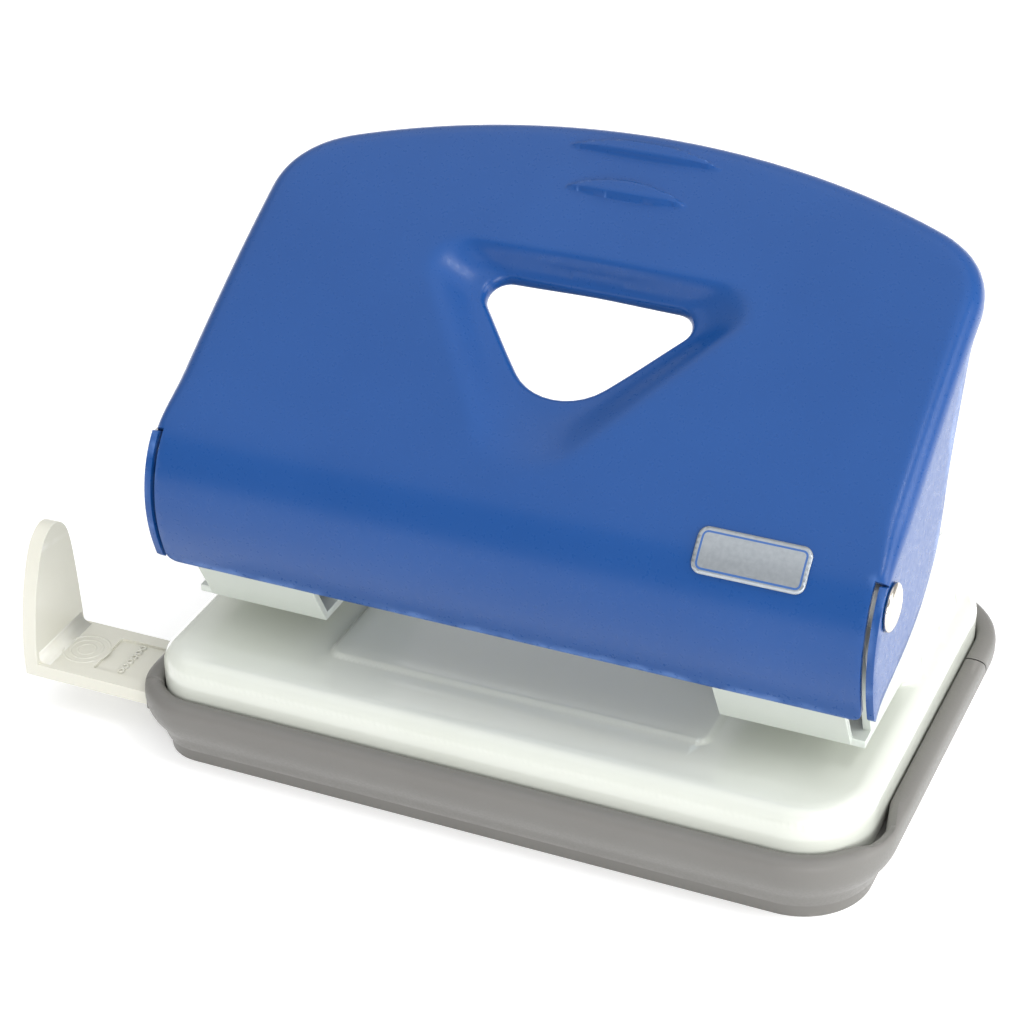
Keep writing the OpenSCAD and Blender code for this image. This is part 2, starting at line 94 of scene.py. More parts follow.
def node(tree, kind, inputs, **settings):
    """A new shader node; an input is a number, a colour or an output to link, by socket name or number."""
    made = tree.nodes.new("ShaderNode" + kind)
    for name, value in settings.items():
        setattr(made, name, value)
    for socket, value in inputs.items():
        if isinstance(value, bpy.types.NodeSocket):
            tree.links.new(value, made.inputs[socket])
        else:
            made.inputs[socket].default_value = value
    return made


def noise(tree, coords, scale, detail=2.0, stretch=OWN_SIZE):
    """A noise texture in the object's own coordinates; stretch above 1 packs it along that axis."""
    mapped = node(tree, "Mapping", {"Vector": coords, "Scale": stretch}).outputs["Vector"]
    return node(tree, "TexNoise", {"Vector": mapped, "Scale": scale, "Detail": detail}).outputs["Fac"]


def remap(tree, value, out_low, out_high, in_low=0.3, in_high=0.7):
    """A value from one range carried over to another."""
    return node(tree, "MapRange", {"Value": value, "From Min": in_low, "From Max": in_high,
                                   "To Min": out_low, "To Max": out_high}).outputs["Result"]


def mix_colour(tree, factor, first, second):
    """Two colours mixed by a factor; the first may be a node's output."""
    if not isinstance(first, bpy.types.NodeSocket):
        first = (*first, 1)
    return node(tree, "Mix", {0: factor, 6: first, 7: (*second, 1)}, data_type="RGBA").outputs[2]


def finish_material(name, colour, shade, rough, *, edge_highlight, metallic=0.0, spread=45.0, rough_spread=0.05,
                    grain=900.0, grain_height=0.004, stretch=OWN_SIZE, coat=0.0, coat_rough=0.08,
                    specular=0.5, subsurface=0.0):
    """Colour drifting between colour and shade, varied roughness, fine relief and a painted highlight that
    lightens sharp edges in patches.
    """
    material = bpy.data.materials.new(name)
    material.use_nodes = True
    tree = material.node_tree
    coords = node(tree, "TexCoord", {}).outputs["Object"]
    tint = remap(tree, noise(tree, coords, spread, 4.0), 0.0, 1.0)
    fine = noise(tree, coords, grain, 2.0, stretch)
    edge = node(tree, "NewGeometry", {}).outputs["Pointiness"]
    edge = remap(tree, edge, 0.0, 1.0, HIGHLIGHT_FROM, HIGHLIGHT_FROM + HIGHLIGHT_SPAN)
    patches = remap(tree, noise(tree, coords, HIGHLIGHT_PATCHES, 3.0), 0.0, 1.0, 0.35, 0.6)
    highlight_share = node(tree, "Math", {0: edge, 1: patches}, operation="MULTIPLY").outputs["Value"]
    # painted highlight: the colour is mixed towards a lighter tone of itself on sharp convex edges, in noise
    # patches
    surface = mix_colour(tree, highlight_share, mix_colour(tree, tint, colour, shade), edge_highlight)
    bump = node(tree, "Bump", {"Strength": 1.0, "Distance": grain_height * MM, "Height": fine})
    bsdf = tree.nodes["Principled BSDF"].inputs
    tree.links.new(surface, bsdf["Base Color"])
    tree.links.new(remap(tree, fine, rough - rough_spread, rough + rough_spread), bsdf["Roughness"])
    tree.links.new(bump.outputs["Normal"], bsdf["Normal"])
    bsdf["Metallic"].default_value = metallic
    bsdf["Specular IOR Level"].default_value = specular
    bsdf["Coat Weight"].default_value = coat
    bsdf["Coat Roughness"].default_value = coat_rough
    bsdf["Subsurface Weight"].default_value = subsurface
    bsdf["Subsurface Radius"].default_value = (0.002, 0.002, 0.0018)
    return material


# the last colour of each finish is its painted edge highlight, a lighter tone of the same colour
BLUE = finish_material("blue_enamel", (0.004, 0.060, 0.245), (0.006, 0.066, 0.262), 0.31, grain=1500.0,
                       grain_height=0.0016, specular=0.36, edge_highlight=(0.07, 0.16, 0.42))
WHITE = finish_material("white_enamel", (0.67, 0.695, 0.625), (0.70, 0.725, 0.66), 0.22, grain=700.0,
                        grain_height=0.0016, coat=0.6, coat_rough=0.06, edge_highlight=(0.80, 0.84, 0.78))
BRACKET_WHITE = finish_material("bracket_enamel", (0.58, 0.62, 0.57), (0.62, 0.66, 0.61), 0.34,
                                grain_height=0.002, coat=0.3, coat_rough=0.15, edge_highlight=(0.76, 0.82, 0.77))
GREY = finish_material("grey_plastic", (0.178, 0.172, 0.161), (0.194, 0.189, 0.177), 0.46, grain=2600.0,
                       grain_height=0.010, rough_spread=0.07, specular=0.35, edge_highlight=(0.27, 0.26, 0.245))
IVORY = finish_material("guide_plastic", (0.72, 0.71, 0.62), (0.76, 0.75, 0.67), 0.38, grain=1800.0,
                        grain_height=0.005, subsurface=0.25, edge_highlight=(0.82, 0.81, 0.75))
ZINC = finish_material("zinc_steel", (0.52, 0.54, 0.56), (0.60, 0.61, 0.62), 0.34, metallic=1.0, grain=500.0,
                       stretch=(1, 14, 14), rough_spread=0.10, edge_highlight=(0.72, 0.73, 0.74))
STEEL = finish_material("ground_steel", (0.50, 0.50, 0.51), (0.58, 0.58, 0.59), 0.26, metallic=1.0,
                        grain=600.0, grain_height=0.003, stretch=(1, 1, 18), rough_spread=0.08,
                        edge_highlight=(0.75, 0.75, 0.76))
SPRING = finish_material("spring_steel", (0.30, 0.31, 0.33), (0.40, 0.41, 0.43), 0.30, metallic=1.0,
                         rough_spread=0.08, edge_highlight=(0.55, 0.56, 0.58))
NICKEL = finish_material("polished_nickel", (0.56, 0.52, 0.46), (0.64, 0.60, 0.54), 0.16, metallic=1.0,
                         grain=800.0, grain_height=0.0015, edge_highlight=(0.86, 0.83, 0.78))
NYLON = finish_material("natural_nylon", (0.66, 0.66, 0.60), (0.72, 0.72, 0.66), 0.42, grain=1600.0,
                        subsurface=0.2, edge_highlight=(0.78, 0.78, 0.73))
BADGE = finish_material("brushed_foil", (0.33, 0.36, 0.39), (0.39, 0.42, 0.45), 0.40, metallic=0.8,
                        grain=2600.0, grain_height=0.006, spread=1600.0, stretch=(1, 9, 9), rough_spread=0.12,
                        edge_highlight=(0.74, 0.76, 0.78))
INK = finish_material("badge_line", (0.035, 0.11, 0.33), (0.045, 0.13, 0.37), 0.40, grain=1500.0,
                      grain_height=0.002, edge_highlight=(0.09, 0.18, 0.42))

# ---------------------- mesh helpers


WELD = 0.004                          # points of a new piece that lie this near become one
CAD_WELD = 0.002                      # and in a CAD node's mesh
FLAT_TURN = 1.0                       # degrees between CAD faces that become one


def add_object(name, data):
    """A new object in the scene."""
    made = bpy.data.objects.new(name, data)
    bpy.context.scene.collection.objects.link(made)
    return made


def all_faces(mesh, setting, value):
    """Gives one setting to every face."""
    mesh.polygons.foreach_set(setting, [value] * len(mesh.polygons))


def mesh_object(name, verts, faces, material, body, slot, nodes=(), face_materials=None):
    """A smooth-shaded mesh piece from points in millimetres, welded, with its faces turned outwards."""
    mesh = bpy.data.meshes.new(name)
    mesh.from_pydata([tuple(np.asarray(v, float) * MM) for v in verts], [], [tuple(f) for f in faces])
    for entry in material if isinstance(material, list) else [material]:
        mesh.materials.append(entry)
    if face_materials is not None:
        mesh.polygons.foreach_set("material_index", face_materials)
    piece = add_object(name, mesh)
    bm = bmesh.new()
    bm.from_mesh(mesh)
    bmesh.ops.remove_doubles(bm, verts=bm.verts, dist=WELD * MM)
    bmesh.ops.dissolve_degenerate(bm, edges=bm.edges, dist=0.5 * WELD * MM)
    bmesh.ops.recalc_face_normals(bm, faces=bm.faces)
    bm.to_mesh(mesh)
    bm.free()
    all_faces(mesh, "use_smooth", True)
    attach(piece, body)
    if nodes:
        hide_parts(*nodes)
    return piece


def bevel(piece, width, segments=3, angle=35):
    """Rounds the edges sharper than an angle, and shades the flats flat."""
    modifier = piece.modifiers.new("edges", "BEVEL")
    modifier.width = width * MM
    modifier.segments = segments
    modifier.limit_method = "ANGLE"
    modifier.angle_limit = math.radians(angle)
    modifier.use_clamp_overlap = True
    modifier.harden_normals = False
    weighted = piece.modifiers.new("shading", "WEIGHTED_NORMAL")
    weighted.keep_sharp = True
    weighted.weight = 80


def sheet_wall(piece, thickness, edge):
    """Grows a wall inwards from a sheet's outer surface and rounds its cut edges."""
    if max(piece.data.polygons, key=lambda p: p.center.z).normal.z < 0:
        piece.data.flip_normals()
    wall = piece.modifiers.new("wall", "SOLIDIFY")
    wall.thickness = thickness * MM
    wall.offset = -1
    wall.use_even_offset = False
    edges = piece.modifiers.new("edges", "BEVEL")
    edges.width = edge * MM
    edges.segments = 2
    edges.limit_method = "ANGLE"
    edges.angle_limit = math.radians(60)


def softened(node_name, body, material, width=0.25, segments=3, angle=35):
    """A CAD node's own shape with rounded edges."""
    bm = bmesh.new()
    bm.from_mesh(frame["nodes"][node_name].data)
    bmesh.ops.remove_doubles(bm, verts=bm.verts, dist=CAD_WELD * MM)
    bmesh.ops.dissolve_limit(bm, angle_limit=math.radians(FLAT_TURN), verts=bm.verts, edges=bm.edges)
    bmesh.ops.recalc_face_normals(bm, faces=bm.faces)
    mesh = bpy.data.meshes.new(node_name + "_look")
    bm.to_mesh(mesh)
    bm.free()
    mesh.materials.append(material)
    all_faces(mesh, "material_index", 0)
    all_faces(mesh, "use_smooth", True)
    piece = add_object(node_name + "_look", mesh)
    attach(piece, body)
    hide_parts(node_name)
    bevel(piece, width, segments, angle)


def grid_faces(rows, cols, start=0, closed=False):
    """Quads of a grid of points stored row by row; closed joins the last column to the first."""
    faces = []
    for r in range(rows - 1):
        for c in range(cols if closed else cols - 1):
            n = (c + 1) % cols
            a = start + r * cols
            b = a + cols
            faces.append((a + c, a + n, b + n, b + c))
    return faces


def lathe(profile, sides=48):
    """Points and faces turned about Z from (radius, height) pairs; ends on the axis close it."""
    turns = np.linspace(0, 2 * math.pi, sides, endpoint=False)
    verts = [(r * math.cos(a), r * math.sin(a), z) for r, z in profile for a in turns]
    return verts, grid_faces(len(profile), sides, closed=True)


def bezier(points, count):
    a, b, c, d = (np.array(p, float) for p in points)
    t = np.linspace(0, 1, count)[:, None]
    return (1 - t) ** 3 * a + 3 * (1 - t) ** 2 * t * b + 3 * (1 - t) * t * t * c + t ** 3 * d


def rounded(corners, radii, steps=10):
    """A closed outline with each corner turned into an arc of its radius."""
    points = []
    count = len(corners)
    for i, corner in enumerate(corners):
        corner = np.array(corner, float)
        to_last = np.array(corners[i - 1], float) - corner
        to_next = np.array(corners[(i + 1) % count], float) - corner
        to_last /= np.linalg.norm(to_last)
        to_next /= np.linalg.norm(to_next)
        half = 0.5 * math.acos(np.clip(to_last @ to_next, -1, 1))
        radius = radii[i]
        centre = corner + (to_last + to_next) / np.linalg.norm(to_last + to_next) * radius / math.sin(half)
        first = corner + to_last * radius / math.tan(half) - centre
        last = corner + to_next * radius / math.tan(half) - centre
        a0 = math.atan2(first[1], first[0])
        sweep = (math.atan2(last[1], last[0]) - a0 + math.pi) % (2 * math.pi) - math.pi
        for k in range(steps + 1):
            a = a0 + sweep * k / steps
            points.append(centre + radius * np.array([math.cos(a), math.sin(a)]))
    return np.array(points)


def resample(outline, step, closed=True):
    """The same line with points about one step apart, keeping none of the old ones."""
    points = np.vstack([outline, outline[:1]]) if closed else outline
    run = np.r_[0, np.cumsum(np.linalg.norm(np.diff(points, axis=0), axis=1))]
    count = max(4, int(round(run[-1] / step)))
    at = np.linspace(0, run[-1], count, endpoint=not closed)
    return np.stack([np.interp(at, run, points[:, k]) for k in range(points.shape[1])], 1)


def inside(outline, points):
    """Which points lie within a closed outline."""
    x, y = points[:, 0], points[:, 1]
    found = np.zeros(len(points), bool)
    for (x0, y0), (x1, y1) in zip(outline, np.roll(outline, -1, axis=0)):
        crosses = (y0 > y) != (y1 > y)
        if crosses.any():
            found ^= crosses & (x < (x1 - x0) * (y - y0) / (y1 - y0 + 1e-12) + x0)
    return found


def distance_to(outline, points):
    """Distance from each point to the nearest vertex of a densely sampled outline."""
    best = np.full(len(points), 1e9)
    for vertex in outline:
        best = np.minimum(best, np.hypot(points[:, 0] - vertex[0], points[:, 1] - vertex[1]))
    return best


def triangulate(outline, holes, interior):
    """Triangles that fill an outline less its holes, through the interior points given."""
    rings = [outline, *holes]
    points = np.vstack([*rings, interior])
    edges = []
    start = 0
    for ring in rings:
        n = len(ring)
        edges += [(start + i, start + (i + 1) % n) for i in range(n)]
        start += n
    verts, _, faces, _, _, _ = delaunay_2d_cdt([Vector(p) for p in points], edges, [], 0, 1e-5)
    verts = np.array([tuple(v) for v in verts])
    faces = np.array([f for f in faces if len(f) == 3])
    middle = verts[faces].mean(1)
    keep = inside(outline, middle)
    for ring in holes:
        keep &= ~inside(ring, middle)
    return verts, faces[keep]


def nearest(points, targets):
    """Index of the point that lies nearest to each target."""
    return [int(np.argmin(np.hypot(*(points - target).T))) for target in targets]


def fill_grid(x_range, y_range, step):
    """Points of a staggered grid."""
    points = []
    for row, y in enumerate(np.arange(y_range[0], y_range[1], step * 0.87)):
        for x in np.arange(x_range[0] + (row % 2) * step / 2, x_range[1], step):
            points.append((x, y))
    return np.array(points)


# ---------------------- handle shell
SHEET = 1.0
FLANGE_X = high("handle_shell")[0]
HANDLE_DEPTH = high("handle_shell")[1] - PIVOT_Y
CROWN_RISE = 34.95
ARCH_R = 125.0
CORNER_R = 14.0
SIDE_BEND = 3.0
REAR_BEND = 4.4
SLIT_X = FLANGE_X - 1.75          # side edge of the nose below the top of the slit
SLIT_TOP = 4.7                    # top of the slit above the pivot
SKIRT_LOW = 27.0                  # lower edge of the rear skirt above the pivot
BEND = (-2.1, 5.0)
BROW = (HANDLE_DEPTH - 5.4, CROWN_RISE)
NOSE = ((-3.9, -16.3), (-7.1, -9.5), (-7.7, -0.9), BEND)
FACE = (BEND, (9.1, 12.3), (BROW[0] - 22, BROW[1] - 8), BROW)
FLANGE_EDGE = ((-3.3, -16.2), (-1.1, -14.6), (4.2, -13.4), (9.6, -12.3), (15.0, -10.4), (18.8, -8.0),
               (22.4, -4.4), (24.4, 0.2), (26.5, 7.7), (31.4, 18.5), (33.4, 21.9))
HOLE = rounded(((-18.6, 59.0), (0.0, 36.5), (18.6, 59.0)), (3.0, 8.5, 3.0))
DISH = rounded(((-29.0, 62.6), (0.0, 19.0), (29.0, 62.6)), (5.0, 9.0, 5.0))
DISH_CENTRE = np.array((0.0, 52.0))
DISH_DEPTH = 3.5
HOLE_ROLL = 1.5                   # radius of the hole's rolled edge
ROLL_TILT = 0.3                   # steepest slope that the rolled edge starts with
RIBS = ((11.4, 82.2, 2.5, 0.45), (9.0, 74.3, 2.5, 0.8))   # half length, line, rise above and sag below it
RIB_HEIGHT = 1.1
HOLE_CORNER = math.atan2(4, 12)   # direction of the hole's rear right corner from the dish's centre
PANEL_STEP = 1.6                  # distance between the panel's points
DENSE = ((32, 17, 66, 0.75, 0), (12.4, 72.4, 86, 0.42, 0.2))   # half width, start, end, step, margin
LIP_R = 1.6                       # corners of the nose's lip
FLANGE_INSET = 0.15               # of the flange's front edge behind the nose
SLIT_BLEND = 10                   # length over which the bend widens above the slit
ROW_STEP = 1.1
ARC_ROWS, SKIRT_ROWS, ROLL_ROWS = 9, 4, 8
ROLL_TURN = math.radians(98)


def smooth(t):
    t = np.clip(t, 0, 1)
    return t * t * (3 - 2 * t)


class Profile:
    """The handle's side profile by arc length from the lip, smoothed across its bend."""

    def __init__(self):
        line = np.vstack([bezier(NOSE, 60), bezier(FACE, 160)[1:]])
        way = line[-1] - line[-2]
        line = np.vstack([line, line[-1] + way / np.linalg.norm(way) * 8.0])
        step = 0.4
        line = resample(line, step, closed=False)
        reach, sigma = 18, 6.5
        kernel = np.exp(-0.5 * (np.arange(-reach, reach + 1) / sigma) ** 2)
        kernel /= kernel.sum()
        padded = np.vstack([2 * line[0] - line[reach:0:-1], line, 2 * line[-1] - line[-2:-reach - 2:-1]])
        line = np.stack([np.convolve(padded[:, k], kernel, "valid") for k in (0, 1)], 1)
        self.y = line[:, 0] + PIVOT_Y
        self.z = line[:, 1] + PIVOT_Z
        self.s = np.r_[0, np.cumsum(np.hypot(np.diff(self.y), np.diff(self.z)))]
        slope_y, slope_z = np.gradient(self.y, self.s), np.gradient(self.z, self.s)
        size = np.hypot(slope_y, slope_z)
        self.ty, self.tz = slope_y / size, slope_z / size
        self.turn = int(np.argmin(np.abs(self.z - (PIVOT_Z + BEND[1]))))

    def at(self, s):
        """Point (y, z) and unit tangent (y, z) at an arc length."""
        s = np.asarray(s, float)
        return tuple(np.interp(s, self.s, v) for v in (self.y, self.z, self.ty, self.tz))

    def s_at_y(self, y):
        """Arc length on the face at a distance back."""
        start = self.turn - 20
        return np.interp(y, self.y[start:], self.s[start:])


profile = Profile()
SLIT_S = float(np.interp(PIVOT_Z + SLIT_TOP, profile.z[:profile.turn + 30], profile.s[:profile.turn + 30]))


def polar(outline):
    """Radius of a star-shaped outline about the dish's centre, as a function of the angle."""
    dense = resample(outline, 0.2)
    away = dense - DISH_CENTRE
    angle = np.arctan2(away[:, 1], away[:, 0])
    order = np.argsort(angle)
    angle, radius = angle[order], np.hypot(*away.T)[order]
    return lambda a: np.interp(a, angle, radius, period=2 * math.pi)


hole_radius, dish_radius = polar(HOLE), polar(DISH)


def relief(x, s):
    """Height of the pressed details above the plain sheet: the dish round the hole and two ribs."""
    away_x, away_s = x - DISH_CENTRE[0], s - DISH_CENTRE[1]
    angle, radius = np.arctan2(away_s, away_x), np.hypot(away_x, away_s)
    inner = hole_radius(angle) + HOLE_ROLL
    outer = dish_radius(angle)
    t = (outer - radius) / np.maximum(outer - inner, 0.5)
    knee, width = 0.10, 0.10
    ramp = 0.5 * ((t - knee) + np.sqrt((t - knee) ** 2 + width ** 2))
    full = 0.5 * ((1 - knee) + math.sqrt((1 - knee) ** 2 + width ** 2))
    ramp = ramp / full * smooth((t + 1.2) / 1.2)
    height = -DISH_DEPTH * (0.45 * ramp + 0.55 * smooth(t))
    for half, line, rise, sag in RIBS:
        u = np.clip(1 - (x / half) ** 2, 0, 1)
        top = line + rise * u
        bottom = line - sag * u
        middle, reach = (top + bottom) / 2, (top - bottom) / 2 + 0.15
        v = np.clip(1 - ((s - middle) / reach) ** 2, 0, 1)
        height = height + RIB_HEIGHT * np.sqrt(u) ** 0.8 * smooth(v * 1.6) * (u > 0)
    return height


def on_sheet(x, s, lift=0.0):
    """Points of the outer surface, relief included."""
    y, z, ty, tz = profile.at(s)
    h = relief(x, s) + lift
    return np.stack([x, y - tz * h, z + ty * h], 1)


def plan_edge():
    """Right half of the outline seen from above, from the side to the rear's middle: point, normal, bend."""
    arch_y = PIVOT_Y + HANDLE_DEPTH - ARCH_R
    corner_x = FLANGE_X - CORNER_R
    corner_y = arch_y + math.sqrt((ARCH_R - CORNER_R) ** 2 - corner_x ** 2)
    turn = math.atan2(corner_x, corner_y - arch_y)
    rows = []
    for k in range(25):
        share = k / 24
        a = math.pi / 2 + (turn - math.pi / 2) * share
        n = (math.sin(a), math.cos(a))
        bend_r = SIDE_BEND + (REAR_BEND - SIDE_BEND) * float(smooth(share))
        rows.append((corner_x + CORNER_R * n[0], corner_y + CORNER_R * n[1], *n, bend_r))
    for k in range(1, 41):
        a = turn * (1 - k / 40)
        n = (math.sin(a), math.cos(a))
        rows.append((ARCH_R * n[0], arch_y + ARCH_R * n[1], *n, REAR_BEND))
    return rows


def bend_seat(x, y, nx, ny, radius):
    """Where a bend starts on the sheet, so that it ends flush with the outline."""
    base_y = y
    for _ in range(6):
        s = float(profile.s_at_y(base_y))
        _, _, ty, tz = profile.at(s)
        tilt = math.hypot(1, ny * tz / ty)
        way = np.array([nx, ny, ny * tz / ty]) / tilt
        turn = math.pi / 2 + math.asin(way[2])
        down = np.array([0, tz, -ty])
        shift = radius * (math.sin(turn) * way + (1 - math.cos(turn)) * down)
        base_y = y - shift[1]
    return x - shift[0], s, way, down, turn


def skirt_drop(end):
    """How far the rear skirt hangs below the end of its bend."""
    return max(end[2] - PIVOT_Z - SKIRT_LOW, 0.8)


def bend_rows():
    """Rows of the bend from the right slit round the rear to the left slit, and how many each side has.

    A row is its seat as x and arc length, the ways out and down there, its turn and its radius.
    """
    seats = [(*bend_seat(*row), row[4]) for row in plan_edge()]
    side = []
    for s in np.arange(SLIT_S, seats[0][1] - 0.6, ROW_STEP):
        share = float(smooth((s - SLIT_S) / SLIT_BLEND))
        radius = (FLANGE_X - SLIT_X) + (SIDE_BEND - FLANGE_X + SLIT_X) * share
        _, _, ty, tz = profile.at(s)
        way, down = np.array([1.0, 0, 0]), np.array([0, tz, -ty])
        side.append((FLANGE_X - radius, float(s), way, down, math.pi / 2, radius))
    right = side + seats
    left = [(-x, s, way * (-1, 1, 1), *rest) for x, s, way, *rest in reversed(right[:-1])]
    return right + left, len(side)


def panel_outline(bend):
    """The panel laid out flat: the nose's lip and sides, then the seats of the bend."""
    lip = [(SLIT_X - LIP_R + LIP_R * math.cos(a), LIP_R + LIP_R * math.sin(a))
           for a in np.linspace(-math.pi / 2, 0, 6)]
    nose_side = [(SLIT_X, s) for s in np.arange(LIP_R + 1.0, SLIT_S - 0.5, 1.0)]
    lip_line = [(x, 0.0) for x in np.arange(-SLIT_X + LIP_R + 1.2, SLIT_X - LIP_R - 0.6, 1.2)]
    right = lip + nose_side
    left = [(-x, s) for x, s in reversed(right)]
    return np.array([*lip_line, *right, *[(row[0], row[1]) for row in bend], *left])


def panel_spots(outline, hole):
    """Points inside the panel, denser round the dish and densest on the ribs."""
    coarse = fill_grid((-FLANGE_X, FLANGE_X), (0.6, profile.s[-1]), PANEL_STEP)
    away, s = np.abs(coarse[:, 0]), coarse[:, 1]
    dense = np.zeros(len(coarse), bool)
    grids = []
    for half, s0, s1, step, margin in DENSE:
        dense |= (away < half + margin) & (s > s0 - margin) & (s < s1 + margin)
        grids.append(fill_grid((-half, half), (s0, s1), step))
    spots = np.vstack([coarse[~dense], *grids])
    spots = spots[inside(outline, spots) & ~inside(hole, spots)]
    spots = spots[distance_to(resample(outline, 0.5), spots) > 0.45]
    return spots[distance_to(resample(hole, 0.3), spots) > 0.35]


def rolled_edge(hole, ahead):
    """Rows of points that turn from the hole's border down into it; ahead lies a little further in."""
    verts = []
    for point, next_point, (_, s) in zip(on_sheet(*hole.T), on_sheet(*ahead.T), hole):
        _, _, ty, tz = profile.at(s)
        down = np.array([0, tz, -ty])
        way = next_point - point
        sink = way @ down
        way = way - sink * down
        way += down * min(sink, ROLL_TILT * np.linalg.norm(way))
        way /= np.linalg.norm(way)
        down = down - way * (down @ way)
        down /= np.linalg.norm(down)
        for a in ROLL_TURN * np.arange(ROLL_ROWS) / (ROLL_ROWS - 1):
            verts.append(point + HOLE_ROLL * (math.sin(a) * way + (1 - math.cos(a)) * down))
    return verts


def flange(side_ends, skirt_edge):
    """A side flange laid out flat in y and z, between the bend, the skirt, its low edge and the nose."""
    low_edge = np.array([(y + PIVOT_Y, z + PIVOT_Z) for y, z in FLANGE_EDGE] + [skirt_edge[-1]])
    low_edge = resample(smooth_line(low_edge, 14), ROW_STEP, closed=False)[::-1]
    y, z, ty, tz = profile.at(np.arange(0.8, SLIT_S, 1.0))
    nose = np.stack([y + tz * FLANGE_INSET, z - ty * FLANGE_INSET], 1)
    border = np.vstack([side_ends, skirt_edge, low_edge[1:], nose])
    spots = fill_grid(*zip(border.min(0), border.max(0)), 2.2)
    spots = spots[inside(border, spots)]
    spots = spots[distance_to(resample(border, 0.6), spots) > 0.8]
    return triangulate(border, [], spots)


def handle_shell():
    """The whole pressed sheet: panel, side and rear bends, flanges, slits and the hole's rolled edge."""
    bend, side_rows = bend_rows()
    outline = panel_outline(bend)
    turns = np.r_[np.linspace(-math.pi, math.pi, 150, endpoint=False),
                  *(corner + np.linspace(-0.3, 0.3, 25) for corner in (HOLE_CORNER, math.pi - HOLE_CORNER))]
    turns = np.sort((turns + math.pi) % (2 * math.pi) - math.pi)
    cut_r = hole_radius(turns)[:, None] + HOLE_ROLL
    rays = np.stack([np.cos(turns), np.sin(turns)], 1)
    hole = DISH_CENTRE + cut_r * rays
    flat, faces = triangulate(outline, [hole], panel_spots(outline, hole))
    verts = [*on_sheet(*flat.T)]
    faces = [*faces]

    ends = []
    start = len(verts)
    for x, s, way, down, turn, radius in bend:
        seat = on_sheet(np.array([x]), np.array([s]))[0]
        for k in range(ARC_ROWS):
            a = turn * k / (ARC_ROWS - 1)
            verts.append(seat + radius * (math.sin(a) * way + (1 - math.cos(a)) * down))
        ends.append(verts[-1])
    faces += grid_faces(len(bend), ARC_ROWS, start)

    skirt = [[end - (0, 0, skirt_drop(end) * k / (SKIRT_ROWS - 1)) for k in range(SKIRT_ROWS)]
             for end in ends[side_rows:len(bend) - side_rows]]
    faces += grid_faces(len(skirt), SKIRT_ROWS, len(verts))
    verts += [point for row in skirt for point in row]

    plate, plate_faces = flange(np.array(ends[:side_rows + 1])[:, 1:], np.array(skirt[0][1:])[:, 1:])
    for side_x in (FLANGE_X, -FLANGE_X):
        faces += [*(plate_faces + len(verts))]
        verts += [np.array([side_x, y, z]) for y, z in plate]

    start = len(verts)
    verts += rolled_edge(hole, DISH_CENTRE + (cut_r - 1.2) * rays)
    for i in range(len(turns)):
        a, b = start + i * ROLL_ROWS, start + (i + 1) % len(turns) * ROLL_ROWS
        faces += [(a + k, b + k, b + k + 1, a + k + 1) for k in range(ROLL_ROWS - 1)]
    shell = mesh_object("handle_sheet", verts, faces, BLUE, "handle", "blue_paint", ["handle_shell"])
    sheet_wall(shell, SHEET, 0.22)


def smooth_line(points, steps):
    """A Catmull-Rom curve through the points given."""
    padded = np.vstack([2 * points[0] - points[1], points, 2 * points[-1] - points[-2]])
    out = []
    for p0, p1, p2, p3 in zip(padded, padded[1:], padded[2:], padded[3:]):
        for t in np.linspace(0, 1, steps, endpoint=False):
            out.append(0.5 * (2 * p1 + (p2 - p0) * t + (2 * p0 - 5 * p1 + 4 * p2 - p3) * t ** 2
                              + (3 * p1 - p0 - 3 * p2 + p3) * t ** 3))
    return np.vstack([out, points[-1:]])


BADGE_S = (18.5, 24.9)                # arc lengths of its edges
BADGE_R = 1.4
BADGE_T, BADGE_SINK = 0.40, 0.06      # its face and the foot of its edge above the sheet
BADGE_LINE, BADGE_LINE_W = 0.55, 0.28


def badge():
    """A bare foil plate on the nose with a thin line inside its border."""
    x0, x1 = low("badge_plate")[0], high("badge_plate")[0]
    s0, s1 = BADGE_S

    def frame_at(inset):
        corners = ((x0 + inset, s0 + inset), (x1 - inset, s0 + inset), (x1 - inset, s1 - inset),
                   (x0 + inset, s1 - inset))
        return rounded(corners, (BADGE_R - inset,) * 4, 8)

    insets = (0.0, BADGE_LINE, BADGE_LINE + BADGE_LINE_W)
    outer, line_a, line_b = (resample(frame_at(i), 0.25) for i in insets)
    spots = fill_grid((x0, x1), (s0, s1), 0.45)
    for ring in (outer, line_a, line_b):
        spots = spots[distance_to(ring, spots) > 0.2]
    spots = np.vstack([spots[inside(outer, spots)], line_a, line_b])
    flat, faces = triangulate(outer, [], spots)
    middle = flat[faces].mean(1)
    inked = inside(line_a, middle) & ~inside(line_b, middle)
    verts = [*on_sheet(*flat.T, BADGE_T), *on_sheet(*outer.T, BADGE_SINK)]
    index = [int(ink) for ink in inked] + [0] * len(outer)
    faces = [*faces]
    ring = nearest(flat, outer)
    for i, edge in enumerate(ring):
        n = (i + 1) % len(ring)
        faces.append((edge, len(flat) + i, len(flat) + n, ring[n]))
    mesh_object("badge_face", verts, faces, [BADGE, INK], "handle", "badge_metal", ["badge_plate"],
                face_materials=index)


